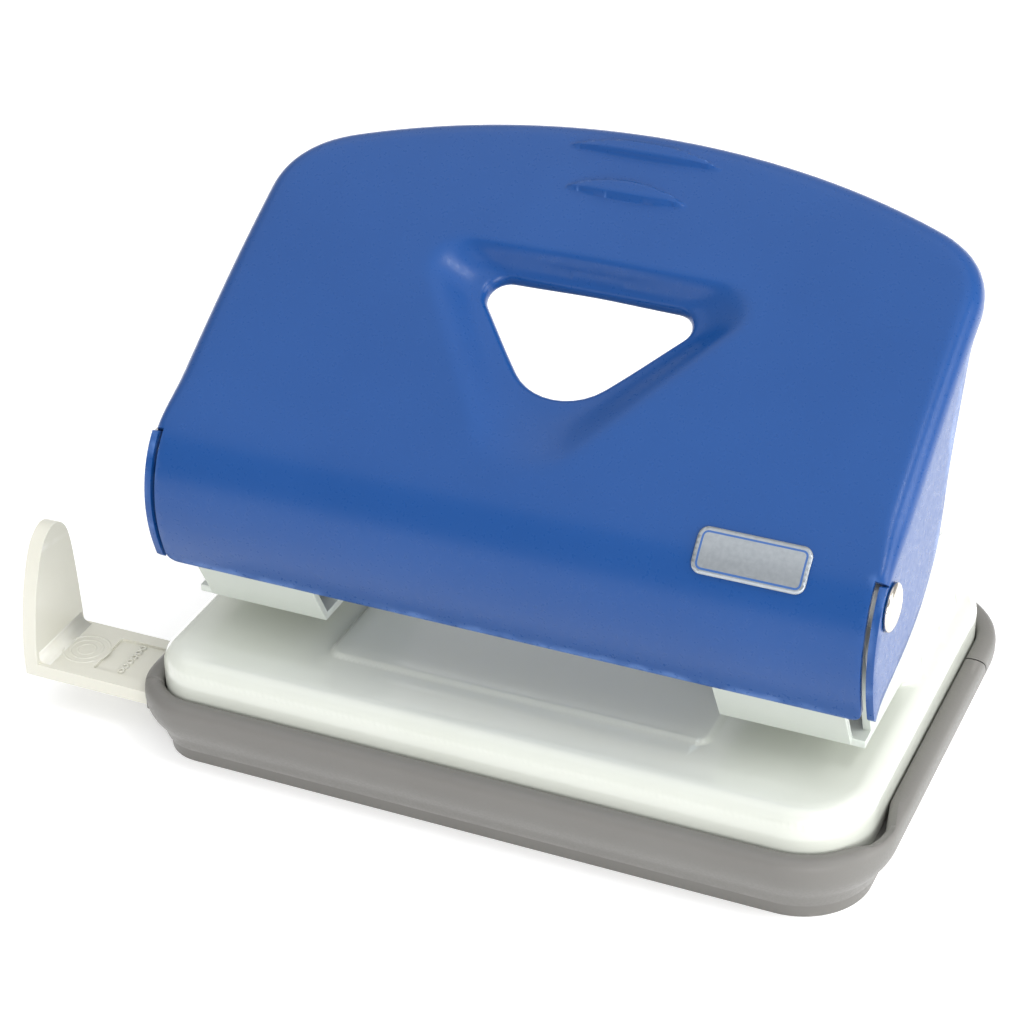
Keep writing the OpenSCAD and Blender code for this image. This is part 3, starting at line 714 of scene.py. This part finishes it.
# ---------------------- base plate
TABLE_Z = 17.5
SHOULDER = 3.0
PLATE_T = 1.2
PLATE_R = 10.8
NEAR_R = 6.8                          # its front left corner, which is tighter
SEAT_R = 3.0
SEAT_STEP = ((-1.2, 0.0), (-0.7, 0.02), (-0.3, 0.08), (0.0, 0.22), (0.12, 0.62), (0.35, 0.84), (0.65, 0.94),
             (1.0, 0.985), (1.4, 1.0))    # distance in from the raised rear's edge, share of its height
PAD_STEP = ((-0.5, 0.0), (-0.15, 0.12), (0.1, 0.7), (0.35, 0.93), (0.8, 1.0))
PAD_H = 0.6
PAD_R = 2.0
PAD_EDGES = (-29.5, 29.5, -12.6, 14.0)
SEAT_EDGES = (-51.6, 51.6, 12.0, 43.5)
DIE_R = 2.85
PIN_X = 40.0


def box_outline(edges, radius, inset, near=None):
    x0, x1, y0, y1 = edges[0] + inset, edges[1] - inset, edges[2] + inset, edges[3] - inset
    radii = [max(r - inset, 0.2) for r in (near or radius, radius, radius, radius)]
    return rounded(((x0, y0), (x1, y0), (x1, y1), (x0, y1)), radii, 40)


def depth_in(points, edges, radius, near=None):
    """Distance in from a rounded box's edge; negative outside it."""
    centre = np.array((edges[0] + edges[1], edges[2] + edges[3])) / 2
    half = np.array((edges[1] - edges[0], edges[3] - edges[2])) / 2
    is_near = (points < centre).all(1)
    corner = np.where(is_near, near or radius, radius)
    q = np.abs(points - centre) - half + corner[:, None]
    return corner - np.hypot(*np.maximum(q, 0).T) - np.minimum(q.max(1), 0)


def base_plate():
    """Pressed steel table: rounded shoulder, raised rear for the brackets, pad and two die holes."""
    x0, y0, skirt_z = low("base_plate")
    x1, y1, seat_z = high("base_plate")
    edges = (x0, x1, y0, y1)
    insets = SHOULDER * (1 - np.cos(np.radians(np.linspace(0, 90, 9))))
    outline = resample(box_outline(edges, PLATE_R, 0.0, NEAR_R), 1.0)
    shoulder = [resample(box_outline(edges, PLATE_R, i, NEAR_R), 1.0) for i in insets[1:]]
    seat = [resample(box_outline(SEAT_EDGES, SEAT_R, d), 0.9) for d, _ in SEAT_STEP]
    pad = [resample(box_outline(PAD_EDGES, PAD_R, d), 0.9) for d, _ in PAD_STEP]
    pad = [ring[depth_in(ring, SEAT_EDGES, SEAT_R) < -1.3] for ring in pad]
    turn = np.linspace(0, 2 * math.pi, 40, endpoint=False)
    circle = np.stack([np.cos(turn), np.sin(turn)], 1)
    dies = [circle * DIE_R + (side * PIN_X, 0) for side in (-1, 1)]
    rims = [circle * (DIE_R + d) + (side * PIN_X, 0) for side in (-1, 1) for d in (0.3, 0.8)]
    spots = fill_grid((x0, x1), (y0, y1), 2.6)
    spots = spots[inside(outline, spots)]
    for ring in [outline, *shoulder, *seat, *pad, *dies, *rims]:
        spots = spots[distance_to(ring, spots) > 0.9]
    spots = spots[depth_in(spots, edges, PLATE_R, NEAR_R) > 0.4]
    spots = np.vstack([spots, *pad, *rims, *shoulder, *seat])
    flat, faces = triangulate(outline, dies, spots)
    inset = np.clip(depth_in(flat, edges, PLATE_R, NEAR_R), 0, SHOULDER)
    height = TABLE_Z - SHOULDER + np.sqrt(np.maximum(SHOULDER ** 2 - (SHOULDER - inset) ** 2, 0))
    seat_share = np.interp(depth_in(flat, SEAT_EDGES, SEAT_R), *zip(*SEAT_STEP))
    pad_share = np.interp(depth_in(flat, PAD_EDGES, PAD_R), *zip(*PAD_STEP))
    height = height + (PAD_H * pad_share) * (1 - seat_share)
    height = height + (seat_z - height) * seat_share
    height[:len(outline)] = TABLE_Z - SHOULDER
    verts = [(x, y, z) for (x, y), z in zip(flat, height)]
    start = len(verts)
    rows = (TABLE_Z - SHOULDER, TABLE_Z - SHOULDER - 1.5, skirt_z + 0.5, skirt_z)
    verts += [(x, y, z) for z in rows for x, y in outline]
    faces = [*faces, *(tuple(reversed(f)) for f in grid_faces(len(rows), len(outline), start, closed=True))]
    plate = mesh_object("table_plate", verts, faces, WHITE, "frame", "white_paint", ["base_plate"])
    sheet_wall(plate, PLATE_T, 0.2)


# ---------------------- chip tray and hinge strip
TRAY_EDGES = (-57.5, 57.5, -26.0, 50.5)
TRAY_R = 14.0
TRAY_NEAR_R = 10.0                    # its front left corner
RIM_Z = 11.6
SPLIT_TOP, SPLIT_LOW = 31.0, 36.5     # where the strip's corner meets the tray, at the rim and at the floor
SKIRT_OUT = ((3.4, 0.0), (3.25, 1.7), (3.15, 2.1), (2.75, 2.35), (2.2, 4.0), (1.5, 5.1), (0.9, 6.0),
             (0.45, 6.9), (0.15, 7.8), (0.0, 8.8), (0.0, 10.0), (0.14, 10.7), (0.5, 11.2), (1.1, 11.55),
             (1.7, 11.6), (2.3, 11.55), (2.75, 11.3), (2.98, 10.9), (3.02, 10.4))
ARM_GAP = 0.4
NOTCH, NOTCH_Y, NOTCH_END = 1.35, (-19.0, -10.5), 2.0   # shallow recess inside the right front's skirt
GUIDE_LOW = (-78.0, -19.9, 6.0)
GUIDE_W, GUIDE_T = 13.5, 2.2
MOUTH = (GUIDE_LOW[1] - ARM_GAP, GUIDE_LOW[1] + GUIDE_W + ARM_GAP)


def split_y(z):
    """The seam between tray and strip, a gentle S down the side."""
    share = 1 - z / RIM_Z
    return SPLIT_TOP + (SPLIT_LOW - SPLIT_TOP) * share + 0.7 * math.sin(2 * math.pi * share)


def u_row(inset, z, rear, clear=0.0, mouth=None, floor_z=None, notch=0.0):
    """One line of the skirt from the left seam round an end to the right seam."""
    x = TRAY_EDGES[1] - inset
    sign = 1 if rear else -1
    end = (TRAY_EDGES[3] - inset) if rear else (TRAY_EDGES[2] + inset)
    radius = TRAY_R - inset
    centre_y = end - sign * radius
    start_y = split_y(z) + clear
    if rear:
        start_y = min(start_y, centre_y - 0.05)
    points = []
    inner_left = x - radius
    if mouth:
        radius = TRAY_NEAR_R - inset
        centre_y = end + radius
        inner_left = x - radius
        bend_a = math.asin((centre_y - mouth[0]) / radius)
        ys = [*np.linspace(start_y, mouth[1] + 0.02, 6), *np.linspace(mouth[1] - 0.02, centre_y, 5)]
        points += [(-x, y, floor_z if (floor_z is not None and y < mouth[1]) else z) for y in ys]
        for k, a in enumerate([*np.linspace(0, bend_a, 8)[1:], *np.linspace(bend_a + 0.004, math.pi / 2, 8)]):
            low_z = floor_z if (floor_z is not None and k < 7) else z
            points.append((-x + radius * (1 - math.cos(a)), centre_y - radius * math.sin(a), low_z))
    else:
        points += [(-x, y, z) for y in np.linspace(start_y, centre_y, 8)]
        points += [(-x + radius * (1 - math.cos(a)), centre_y + sign * radius * math.sin(a), z)
                   for a in np.linspace(0, math.pi / 2, 15)[1:]]
    radius = TRAY_R - inset
    centre_y = end - sign * radius
    points += [(px, end, z) for px in np.linspace(-inner_left, x - radius, 12)[1:]]
    points += [(x - radius * (1 - math.cos(a)), centre_y + sign * radius * math.sin(a), z)
               for a in np.linspace(math.pi / 2, 0, 21)[1:]]
    points += [(x, y, z) for y in np.linspace(centre_y, start_y, 9)[1:]]
    if notch:
        first, last = NOTCH_Y
        shares = [smooth((y - first) / NOTCH_END) * smooth((last - y) / NOTCH_END) * (x > 40)
                  for x, y, _ in points]
        points = [(x + notch * float(share), y, z) for (x, y, z), share in zip(points, shares)]
    return points


def skirt_loft(rows):
    """A closed wall from its rows, with flat ends."""
    count, columns = len(rows), len(rows[0])
    verts = [p for row in rows for p in row]
    faces = []
    for r in range(count):
        n = (r + 1) % count
        for c in range(columns - 1):
            faces.append((r * columns + c, r * columns + c + 1, n * columns + c + 1, n * columns + c))
    faces.append(tuple(r * columns for r in range(count)))
    faces.append(tuple(reversed([r * columns + columns - 1 for r in range(count)])))
    return verts, faces


def merge(parts):
    """Several point-and-face lists as one."""
    verts, faces = [], []
    for v, f in parts:
        start = len(verts)
        verts += v
        faces += [tuple(start + i for i in face) for face in f]
    return verts, faces


def prism(outline, z0, z1):
    """A straight solid over a closed outline."""
    flat, caps = triangulate(outline, [], np.empty((0, 2)))
    count = len(flat)
    ring = nearest(flat, outline)
    verts = [(x, y, z) for z in (z0, z1) for x, y in flat]
    faces = [tuple(reversed(f)) for f in caps] + [tuple(count + i for i in f) for f in caps]
    for a, b in zip(ring, ring[1:] + ring[:1]):
        faces.append((a, b, count + b, count + a))
    return verts, faces


def along_x(outline, x0, x1):
    """A straight solid along X over an outline in y and z."""
    verts, faces = prism(outline, x0, x1)
    return [(x, y, z) for y, z, x in verts], faces


FLOOR_X, FLOOR_REAR = 50.5, 39.9
HINGE_Y, HINGE_Z = 44.0, 5.4
KNUCKLE_R, STUB_R = 2.6, 1.3
ARM_X, ARM_W, LUG_W, LUG_GAP = 36.0, 6.0, 3.4, 0.2
LUG_REAR = TRAY_EDGES[3] - 1.9


def circle_at(y, z, radius, a0=0.0, a1=360.0, steps=24):
    angles = np.radians(np.linspace(a0, a1, steps, endpoint=a1 - a0 < 360))
    return [(y + radius * math.cos(a), z + radius * math.sin(a)) for a in angles]


TRAY_WALL, TRAY_IN = 1.6, 5.1         # its floor, and how far in the thick part of its side reaches
TRAY_FLOOR = (52.3, 29.0, -12.2, 8.8) # half width, where it narrows, start and radius of its corners


def chip_tray():
    """Plastic tray: skirt, floor, inner rear wall, and hinge arms with their stubs."""
    wall, inner = TRAY_WALL, TRAY_IN
    section = [*SKIRT_OUT, (3.02, 8.4), (3.3, 8.4), (inner, 8.3), (inner, 0.0)]
    mouth_floor = GUIDE_LOW[2] - ARM_GAP
    rows = []
    for i, (inset, z) in enumerate(section):
        floor_z = mouth_floor if z > mouth_floor else None
        notch = NOTCH if 13 < i < len(section) - 3 else 0.0
        rows.append(u_row(inset, z, False, mouth=MOUTH, floor_z=floor_z, notch=notch))
    parts = [skirt_loft(rows)]
    half, waist, front, corner_r = TRAY_FLOOR
    floor = [(-half, waist), *[(-half + corner_r * (1 - math.cos(a)), front - corner_r * math.sin(a))
                               for a in np.linspace(0, math.pi / 2, 8)]]
    floor += [(-x, y) for x, y in reversed(floor)]
    rear_r = 6
    back = [(FLOOR_X, waist), (FLOOR_X, FLOOR_REAR - rear_r)]
    back += [(FLOOR_X - rear_r * (1 - math.cos(a)), FLOOR_REAR - rear_r * (1 - math.sin(a)))
             for a in np.linspace(0, math.pi / 2, 8)]
    rear_path = back + [(-x, y) for x, y in reversed(back)]
    parts.append(prism(resample_corners(floor + rear_path), 0.0, wall))
    inner_path = [(x * (FLOOR_X - wall) / FLOOR_X, y - (wall if y > waist else 0))
                  for x, y in reversed(rear_path)]
    parts.append(prism(np.array(rear_path + inner_path), 0.0, HINGE_Z + 1))
    for side in (-1, 1):
        x0 = side * ARM_X - ARM_W / 2
        arm = [*circle_at(HINGE_Y, HINGE_Z, KNUCKLE_R, -90, 180, 20), (HINGE_Y - KNUCKLE_R, HINGE_Z),
               (FLOOR_REAR - wall, HINGE_Z), (FLOOR_REAR - wall, HINGE_Z - KNUCKLE_R)]
        parts.append(along_x(np.array(arm), x0, x0 + ARM_W))
        stub = np.array(circle_at(HINGE_Y, HINGE_Z, STUB_R))
        parts.append(along_x(stub, x0 - LUG_W, x0 + ARM_W + LUG_W))
    tray = mesh_object("tray_shell", *merge(parts), GREY, "tray", "grey_plastic", ["chip_tray"])
    bevel(tray, 0.22, 2, 40)


def resample_corners(points):
    """The outline without points that repeat."""
    kept = [points[0]]
    for p in points[1:]:
        if math.dist(p, kept[-1]) > 1e-3:
            kept.append(p)
    return np.array(kept)


def hinge_strip():
    section = [*SKIRT_OUT, (3.1, 8.5), (3.5, 8.5), (3.5, 0.0)]
    parts = [skirt_loft([u_row(inset, z, True, clear=0.3) for inset, z in section])]
    for side in (-1, 1):
        for s in (-1, 1):
            x0 = side * ARM_X + s * (ARM_W / 2 + LUG_GAP + LUG_W / 2) - LUG_W / 2
            lug = [*circle_at(HINGE_Y, HINGE_Z, KNUCKLE_R, 90, 270, 18), (LUG_REAR, HINGE_Z - KNUCKLE_R),
                   (LUG_REAR, HINGE_Z + KNUCKLE_R)]
            parts.append(along_x(np.array(lug), x0, x0 + LUG_W))
    strip = mesh_object("strip_shell", *merge(parts), GREY, "frame", "grey_plastic", ["tray_hinge_strip"])
    bevel(strip, 0.22, 2, 40)


BRIDGE_GAP, BRIDGE_END = 0.15, 0.06   # over the guide's arm, and short of the tray's rim at both ends


def mouth_bridge():
    """The rim over the paper guide's arm; it stays with the base when the tray opens."""
    low_z = GUIDE_LOW[2] + GUIDE_T + BRIDGE_GAP
    section = [(i, z) for i, z in SKIRT_OUT if z > low_z] + [(3.02, low_z), (0.12, low_z)]
    rows = []
    for inset, z in section:
        x = TRAY_EDGES[1] - inset
        radius = TRAY_NEAR_R - inset
        centre_y = TRAY_EDGES[2] + TRAY_NEAR_R
        bend_a = math.asin((centre_y - MOUTH[0] - BRIDGE_END) / radius)
        row = [(-x, y, z) for y in np.linspace(MOUTH[1] - BRIDGE_END, centre_y, 5)]
        row += [(-x + radius * (1 - math.cos(a)), centre_y - radius * math.sin(a), z)
                for a in np.linspace(0, bend_a, 8)[1:]]
        rows.append(row)
    mesh_object("mouth_bridge", *skirt_loft(rows), GREY, "frame", "grey_plastic")


# ---------------------- paper guide
FIN_T = 2.3
FIN_EXTRA = 1.6                       # how much higher the fin's round top is than the CAD's
COVE_R = 1.8
GUIDE_TOP = GUIDE_LOW[2] + GUIDE_T
SUNK = 0.45
WINDOW = ((10.5, 2.6), (24, 2.6), (24, GUIDE_W - 2.2), (10.5, GUIDE_W - 2.2))   # from the arm's corner
RING_SECTION = ((-0.22, -0.02), (-0.1, 0.07), (0.1, 0.07), (0.22, -0.02))


def figure_eight(x, y, z, size, stroke, height):
    """A raised numeral eight lying on the arm: two rings, one beyond the other."""
    parts = []
    half_w, half_h = 0.42 * size, 0.46 * size
    turns = np.linspace(0, 2 * math.pi, 20, endpoint=False)
    for mid in (y - half_h, y + half_h):
        outer, inner = ([(x + (half_w - cut) * math.cos(a), mid + (half_h - cut) * math.sin(a))
                         for a in turns] for cut in (0, stroke))
        verts = [(*p, level) for ring, levels in ((outer, (z, z + height)), (inner, (z + height, z)))
                 for level in levels for p in ring]
        parts.append((verts, grid_faces(4, len(turns), closed=True)))
    return merge(parts)


def guide_arm():
    """The guide's flat arm with a sunk window near its fin."""
    x0, y0, z0 = GUIDE_LOW
    x1, y1 = high("paper_guide")[0], y0 + GUIDE_W
    arm = rounded(((x0, y0), (x1, y0), (x1, y1), (x0, y1)), (1.0,) * 4, 6)
    window = rounded([(x0 + x, y0 + y) for x, y in WINDOW], (0.4,) * 4, 4)
    verts, faces, rings = [], [], []
    levels = ((arm, [window], GUIDE_TOP, 1), (arm, [], z0, -1), (window, [], GUIDE_TOP - SUNK, 1))
    for outline, holes, level, order in levels:
        flat, lid = triangulate(outline, holes, np.empty((0, 2)))
        faces += [*(lid[:, ::order] + len(verts))]
        rings += [[len(verts) + i for i in nearest(flat, ring)] for ring in (outline, *holes)]
        verts += [(x, y, level) for x, y in flat]
    arm_ring, window_ring, low_ring, pane_ring = rings
    for ring_a, ring_b in ((low_ring, arm_ring), (window_ring, pane_ring)):
        for i in range(len(ring_a)):
            n = (i + 1) % len(ring_a)
            faces.append((ring_a[i], ring_a[n], ring_b[n], ring_b[i]))
    piece = mesh_object("guide_arm", verts, faces, IVORY, "guide", "guide_plastic", ["paper_guide"])
    bevel(piece, 0.35, 3, 40)


def guide_fin():
    """The upright fin that the paper's edge meets, and the cove at its root."""
    x0, y0, z0 = GUIDE_LOW
    top_z = high("paper_guide")[2] + FIN_EXTRA
    y1 = y0 + GUIDE_W
    edge = np.array([(y0, z0), (y0 + 0.1, z0 + 5), (y0 + 1.5, z0 + 13), (y0 + 4.0, top_z - 3.2),
                     (y0 + 6.2, top_z - 0.7), (y0 + 8.4, top_z), (y0 + 10.6, top_z - 1.0),
                     (y0 + 12.0, top_z - 3.6), (y0 + 12.8, top_z - 9), (y1, z0 + 4), (y1, z0)])
    fin = along_x(resample(smooth_line(edge, 8), 0.6, closed=False), x0, x0 + FIN_T)
    bevel(mesh_object("guide_fin", *fin, IVORY, "guide", "guide_plastic", ["paper_guide"]), 0.75, 5, 50)
    foot_x, sink = x0 + FIN_T, 0.4
    cove = [(foot_x - sink, GUIDE_TOP - sink), (foot_x + COVE_R, GUIDE_TOP - sink)]
    cove += [(foot_x + COVE_R * (1 - math.sin(a)), GUIDE_TOP + COVE_R * (1 - math.cos(a)))
             for a in np.linspace(0, math.pi / 2, 9)]
    cove.append((foot_x - sink, GUIDE_TOP + COVE_R))
    verts, faces = prism(np.array(cove), y0 + 0.7, y1 - 0.5)
    mesh_object("guide_cove", [(x, y, z) for x, z, y in verts], faces, IVORY, "guide", "guide_plastic")


def guide_marks():
    """Raised numerals in the window and grip rings beside it."""
    x0, y0, _ = GUIDE_LOW
    marks = [figure_eight(x0 + 14.6, y0 + 4.6 + k * 2.6, GUIDE_TOP - SUNK, 1.35, 0.3, 0.3) for k in range(3)]
    mesh_object("guide_numerals", *merge(marks), IVORY, "guide", "guide_plastic")
    rings = []
    for radius in (1.4, 2.5, 3.6):
        section = [(radius + away, GUIDE_TOP + rise) for away, rise in RING_SECTION]
        verts, faces = lathe(section, 40)
        rings.append(([(x + x0 + 7.0, y + y0 + 6.6, z) for x, y, z in verts], faces))
    mesh_object("guide_grip_rings", *merge(rings), IVORY, "guide", "guide_plastic")


# ---------------------- pivots and springs
HEAD_GAP = 0.05                       # between a rivet's head and the flange


def pivot_rivets():
    """Domed rivet heads on the handle's side flanges, with their feet inside the ears."""
    head_r, head_h, shank_r = 3.4, 1.2, 1.5
    dome = [(head_r * math.sin(a), head_h * (0.28 + 0.72 * math.cos(a)))
            for a in np.radians(np.linspace(0, 90, 10))]
    for name, side in (("left_pivot_rivet", -1), ("right_pivot_rivet", 1)):
        out_x = FLANGE_X + HEAD_GAP
        ear_in = min(abs(low(name)[0]), abs(high(name)[0]))
        foot = ear_in - out_x
        section = [(0.0, dome[0][1]), *dome[1:], (head_r, 0.12), (head_r - 0.15, 0.0), (shank_r, 0.0),
                   (shank_r, foot + 1.0), (2.4, foot + 1.0), (2.4, foot + 0.25), (2.1, foot), (0.0, foot)]
        v, f = lathe(section, 40)
        v = [(side * (out_x + z), PIVOT_Y + side * y, PIVOT_Z + x) for x, y, z in v]
        mesh_object(name + "_head", v, f, NICKEL, "frame", "nickel", [name])


def return_springs():
    """Round-wire springs with closed end turns."""
    turns, end_turns, wire, sides, per_turn = 6.0, 0.8, 0.45, 10, 26
    for name, joint, side in (("left_return_spring", "left_pin_slide", -1),
                              ("right_return_spring", "right_pin_slide", 1)):
        z0, z1 = low(name)[2], high(name)[2]
        x = side * PIN_X
        radius = high(name)[0] - x - wire
        count = int((turns + 2 * end_turns) * per_turn)
        verts = []
        for i in range(count + 1):
            turn = i / per_turn
            share = smooth((turn - end_turns) / turns * 0.999)
            share = 0.5 * share + 0.5 * np.clip((turn - end_turns) / turns, 0, 1)
            mid_z = z0 + wire + (z1 - z0 - 2 * wire) * float(share)
            a = 2 * math.pi * turn
            for k in range(sides):
                b = 2 * math.pi * k / sides
                reach = radius + wire * math.cos(b)
                verts.append((x + reach * math.cos(a), reach * math.sin(a), mid_z + wire * math.sin(b)))
        faces = grid_faces(count + 1, sides, closed=True)
        faces.append(tuple(range(sides)))
        faces.append(tuple(reversed(range(count * sides, (count + 1) * sides))))
        spring = mesh_object(name + "_coil", verts, faces, SPRING, "frame", "spring_steel", [name])
        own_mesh(spring)


# ---------------------- stage, lights and camera
FLOOR_SIZE = 3.0
FLOOR_LIFT = 0.36                     # what the floor adds to itself before the camera
FLOOR_SHEEN = 0.9                     # and in reflections
WORLD_LIGHT = 0.60
AIM = (0, 0.01, 0.03)
LAMPS = (("overhead", (-0.20, 0.05, 1.5), (2.6, 2.4), 12.5), ("key", (0.75, -0.25, 1.40), (0.35, 0.35), 4.0),
         ("right_front", (0.80, -1.10, 0.36), (0.8, 0.5), 9.0),
         ("right_side", (1.05, 0.10, 0.40), (0.6, 0.9), 7.0))   # name, place, size, power
VIEW_TURN = (24.137, 31.204, -0.858)  # degrees to the right, up and of roll
VIEW_PLACE = (0.131445, -0.305706, 0.243743)
VIEW_LENS = 96.92


def stage():
    """A plain white floor that keeps the object's shadow."""
    mesh = bpy.data.meshes.new("floor")
    corners = [(x * FLOOR_SIZE, y * FLOOR_SIZE, 0) for x, y in ((-1, -1), (1, -1), (1, 1), (-1, 1))]
    mesh.from_pydata(corners, [], [(0, 1, 2, 3)])
    add_object("floor", mesh)
    material = bpy.data.materials.new("floor_white")
    material.use_nodes = True
    tree = material.node_tree
    tree.nodes.clear()
    path = node(tree, "LightPath", {}).outputs
    lift = node(tree, "Math", {0: path["Is Camera Ray"], 1: FLOOR_LIFT}, operation="MULTIPLY")
    level = node(tree, "Math", {0: path["Is Glossy Ray"], 1: FLOOR_SHEEN, 2: lift.outputs[0]},
                 operation="MULTIPLY_ADD")
    diffuse = node(tree, "BsdfDiffuse", {"Color": (0.86, 0.86, 0.86, 1)})
    glow = node(tree, "Emission", {"Strength": level.outputs[0]})
    total = node(tree, "AddShader", {0: diffuse.outputs[0], 1: glow.outputs[0]})
    node(tree, "OutputMaterial", {"Surface": total.outputs[0]})
    mesh.materials.append(material)


def world():
    """Soft surround light, white to the camera and through clear things."""
    surround = bpy.data.worlds.new("studio")
    bpy.context.scene.world = surround
    surround.use_nodes = True
    tree = surround.node_tree
    tree.nodes.clear()
    seen, lit = (node(tree, "Background", {"Color": (1, 1, 1, 1), "Strength": s}) for s in (1.0, WORLD_LIGHT))
    path = node(tree, "LightPath", {}).outputs
    either = node(tree, "Math", {0: path["Is Camera Ray"], 1: path["Is Transmission Ray"]},
                  operation="MAXIMUM")
    mix = node(tree, "MixShader", {0: either.outputs[0], 1: lit.outputs[0], 2: seen.outputs[0]})
    node(tree, "OutputWorld", {"Surface": mix.outputs[0]})


def lights():
    """Soft boxes turned towards the object."""
    for name, place, size, power in LAMPS:
        light = bpy.data.lights.new(name, "AREA")
        light.shape = "RECTANGLE"
        light.size, light.size_y = size
        light.energy = power
        lamp = add_object(name, light)
        lamp.location = place
        lamp.rotation_euler = (Vector(AIM) - Vector(place)).to_track_quat("-Z", "Y").to_euler()


def camera():
    """The photograph's view: position and turn of a camera fitted to the object's known sizes."""
    azimuth, elevation, roll = (math.radians(v) for v in VIEW_TURN)
    back = Vector((math.sin(azimuth) * math.cos(elevation), -math.cos(azimuth) * math.cos(elevation),
                   math.sin(elevation)))
    across = Vector((math.cos(azimuth), math.sin(azimuth), 0))
    upward = back.cross(across)
    right = math.cos(roll) * across + math.sin(roll) * upward
    up = -math.sin(roll) * across + math.cos(roll) * upward
    data = bpy.data.cameras.new("view")
    data.sensor_width = 36.0
    data.lens = VIEW_LENS
    data.clip_start = 0.01
    data.clip_end = 20
    view = add_object("view", data)
    view.matrix_world = Matrix.Translation(VIEW_PLACE) @ Matrix((right, up, back)).transposed().to_4x4()
    bpy.context.scene.camera = view


# ---------------------- assembly
camera()
world()
lights()
stage()
handle_shell()
badge()
base_plate()
chip_tray()
hinge_strip()
mouth_bridge()
guide_arm()
guide_fin()
guide_marks()
pivot_rivets()
return_springs()
for side in ("left", "right"):
    softened(side + "_bracket", "frame", BRACKET_WHITE, 0.45, 4)
    softened(side + "_press_plate", "handle", ZINC, 0.3)
    softened(side + "_spring_clip", side + "_pin", SPRING, 0.15, 2)
softened("bracket_rivets", "frame", ZINC, 0.25, 3, 20)
softened("guide_channel", "frame", ZINC, 0.2, 2)

BOTH_SIDES = {"bracket": BRACKET_WHITE, "punch_pin": STEEL, "return_spring": SPRING, "spring_clip": SPRING,
              "pivot_rivet": NICKEL, "pivot_washer": NYLON, "press_plate": ZINC}
CAD_FINISH = {
    "base_plate": WHITE, "bracket_rivets": ZINC, "handle_shell": BLUE, "badge_plate": BADGE,
    "paper_guide": IVORY, "guide_channel": ZINC, "chip_tray": GREY, "tray_hinge_strip": GREY,
    **{side + "_" + part: finish for part, finish in BOTH_SIDES.items() for side in ("left", "right")},
}
for name, finish in CAD_FINISH.items():
    for slot in frame["nodes"][name].material_slots:
        slot.material = finish

bpy.context.scene.view_settings.view_transform = "Standard"
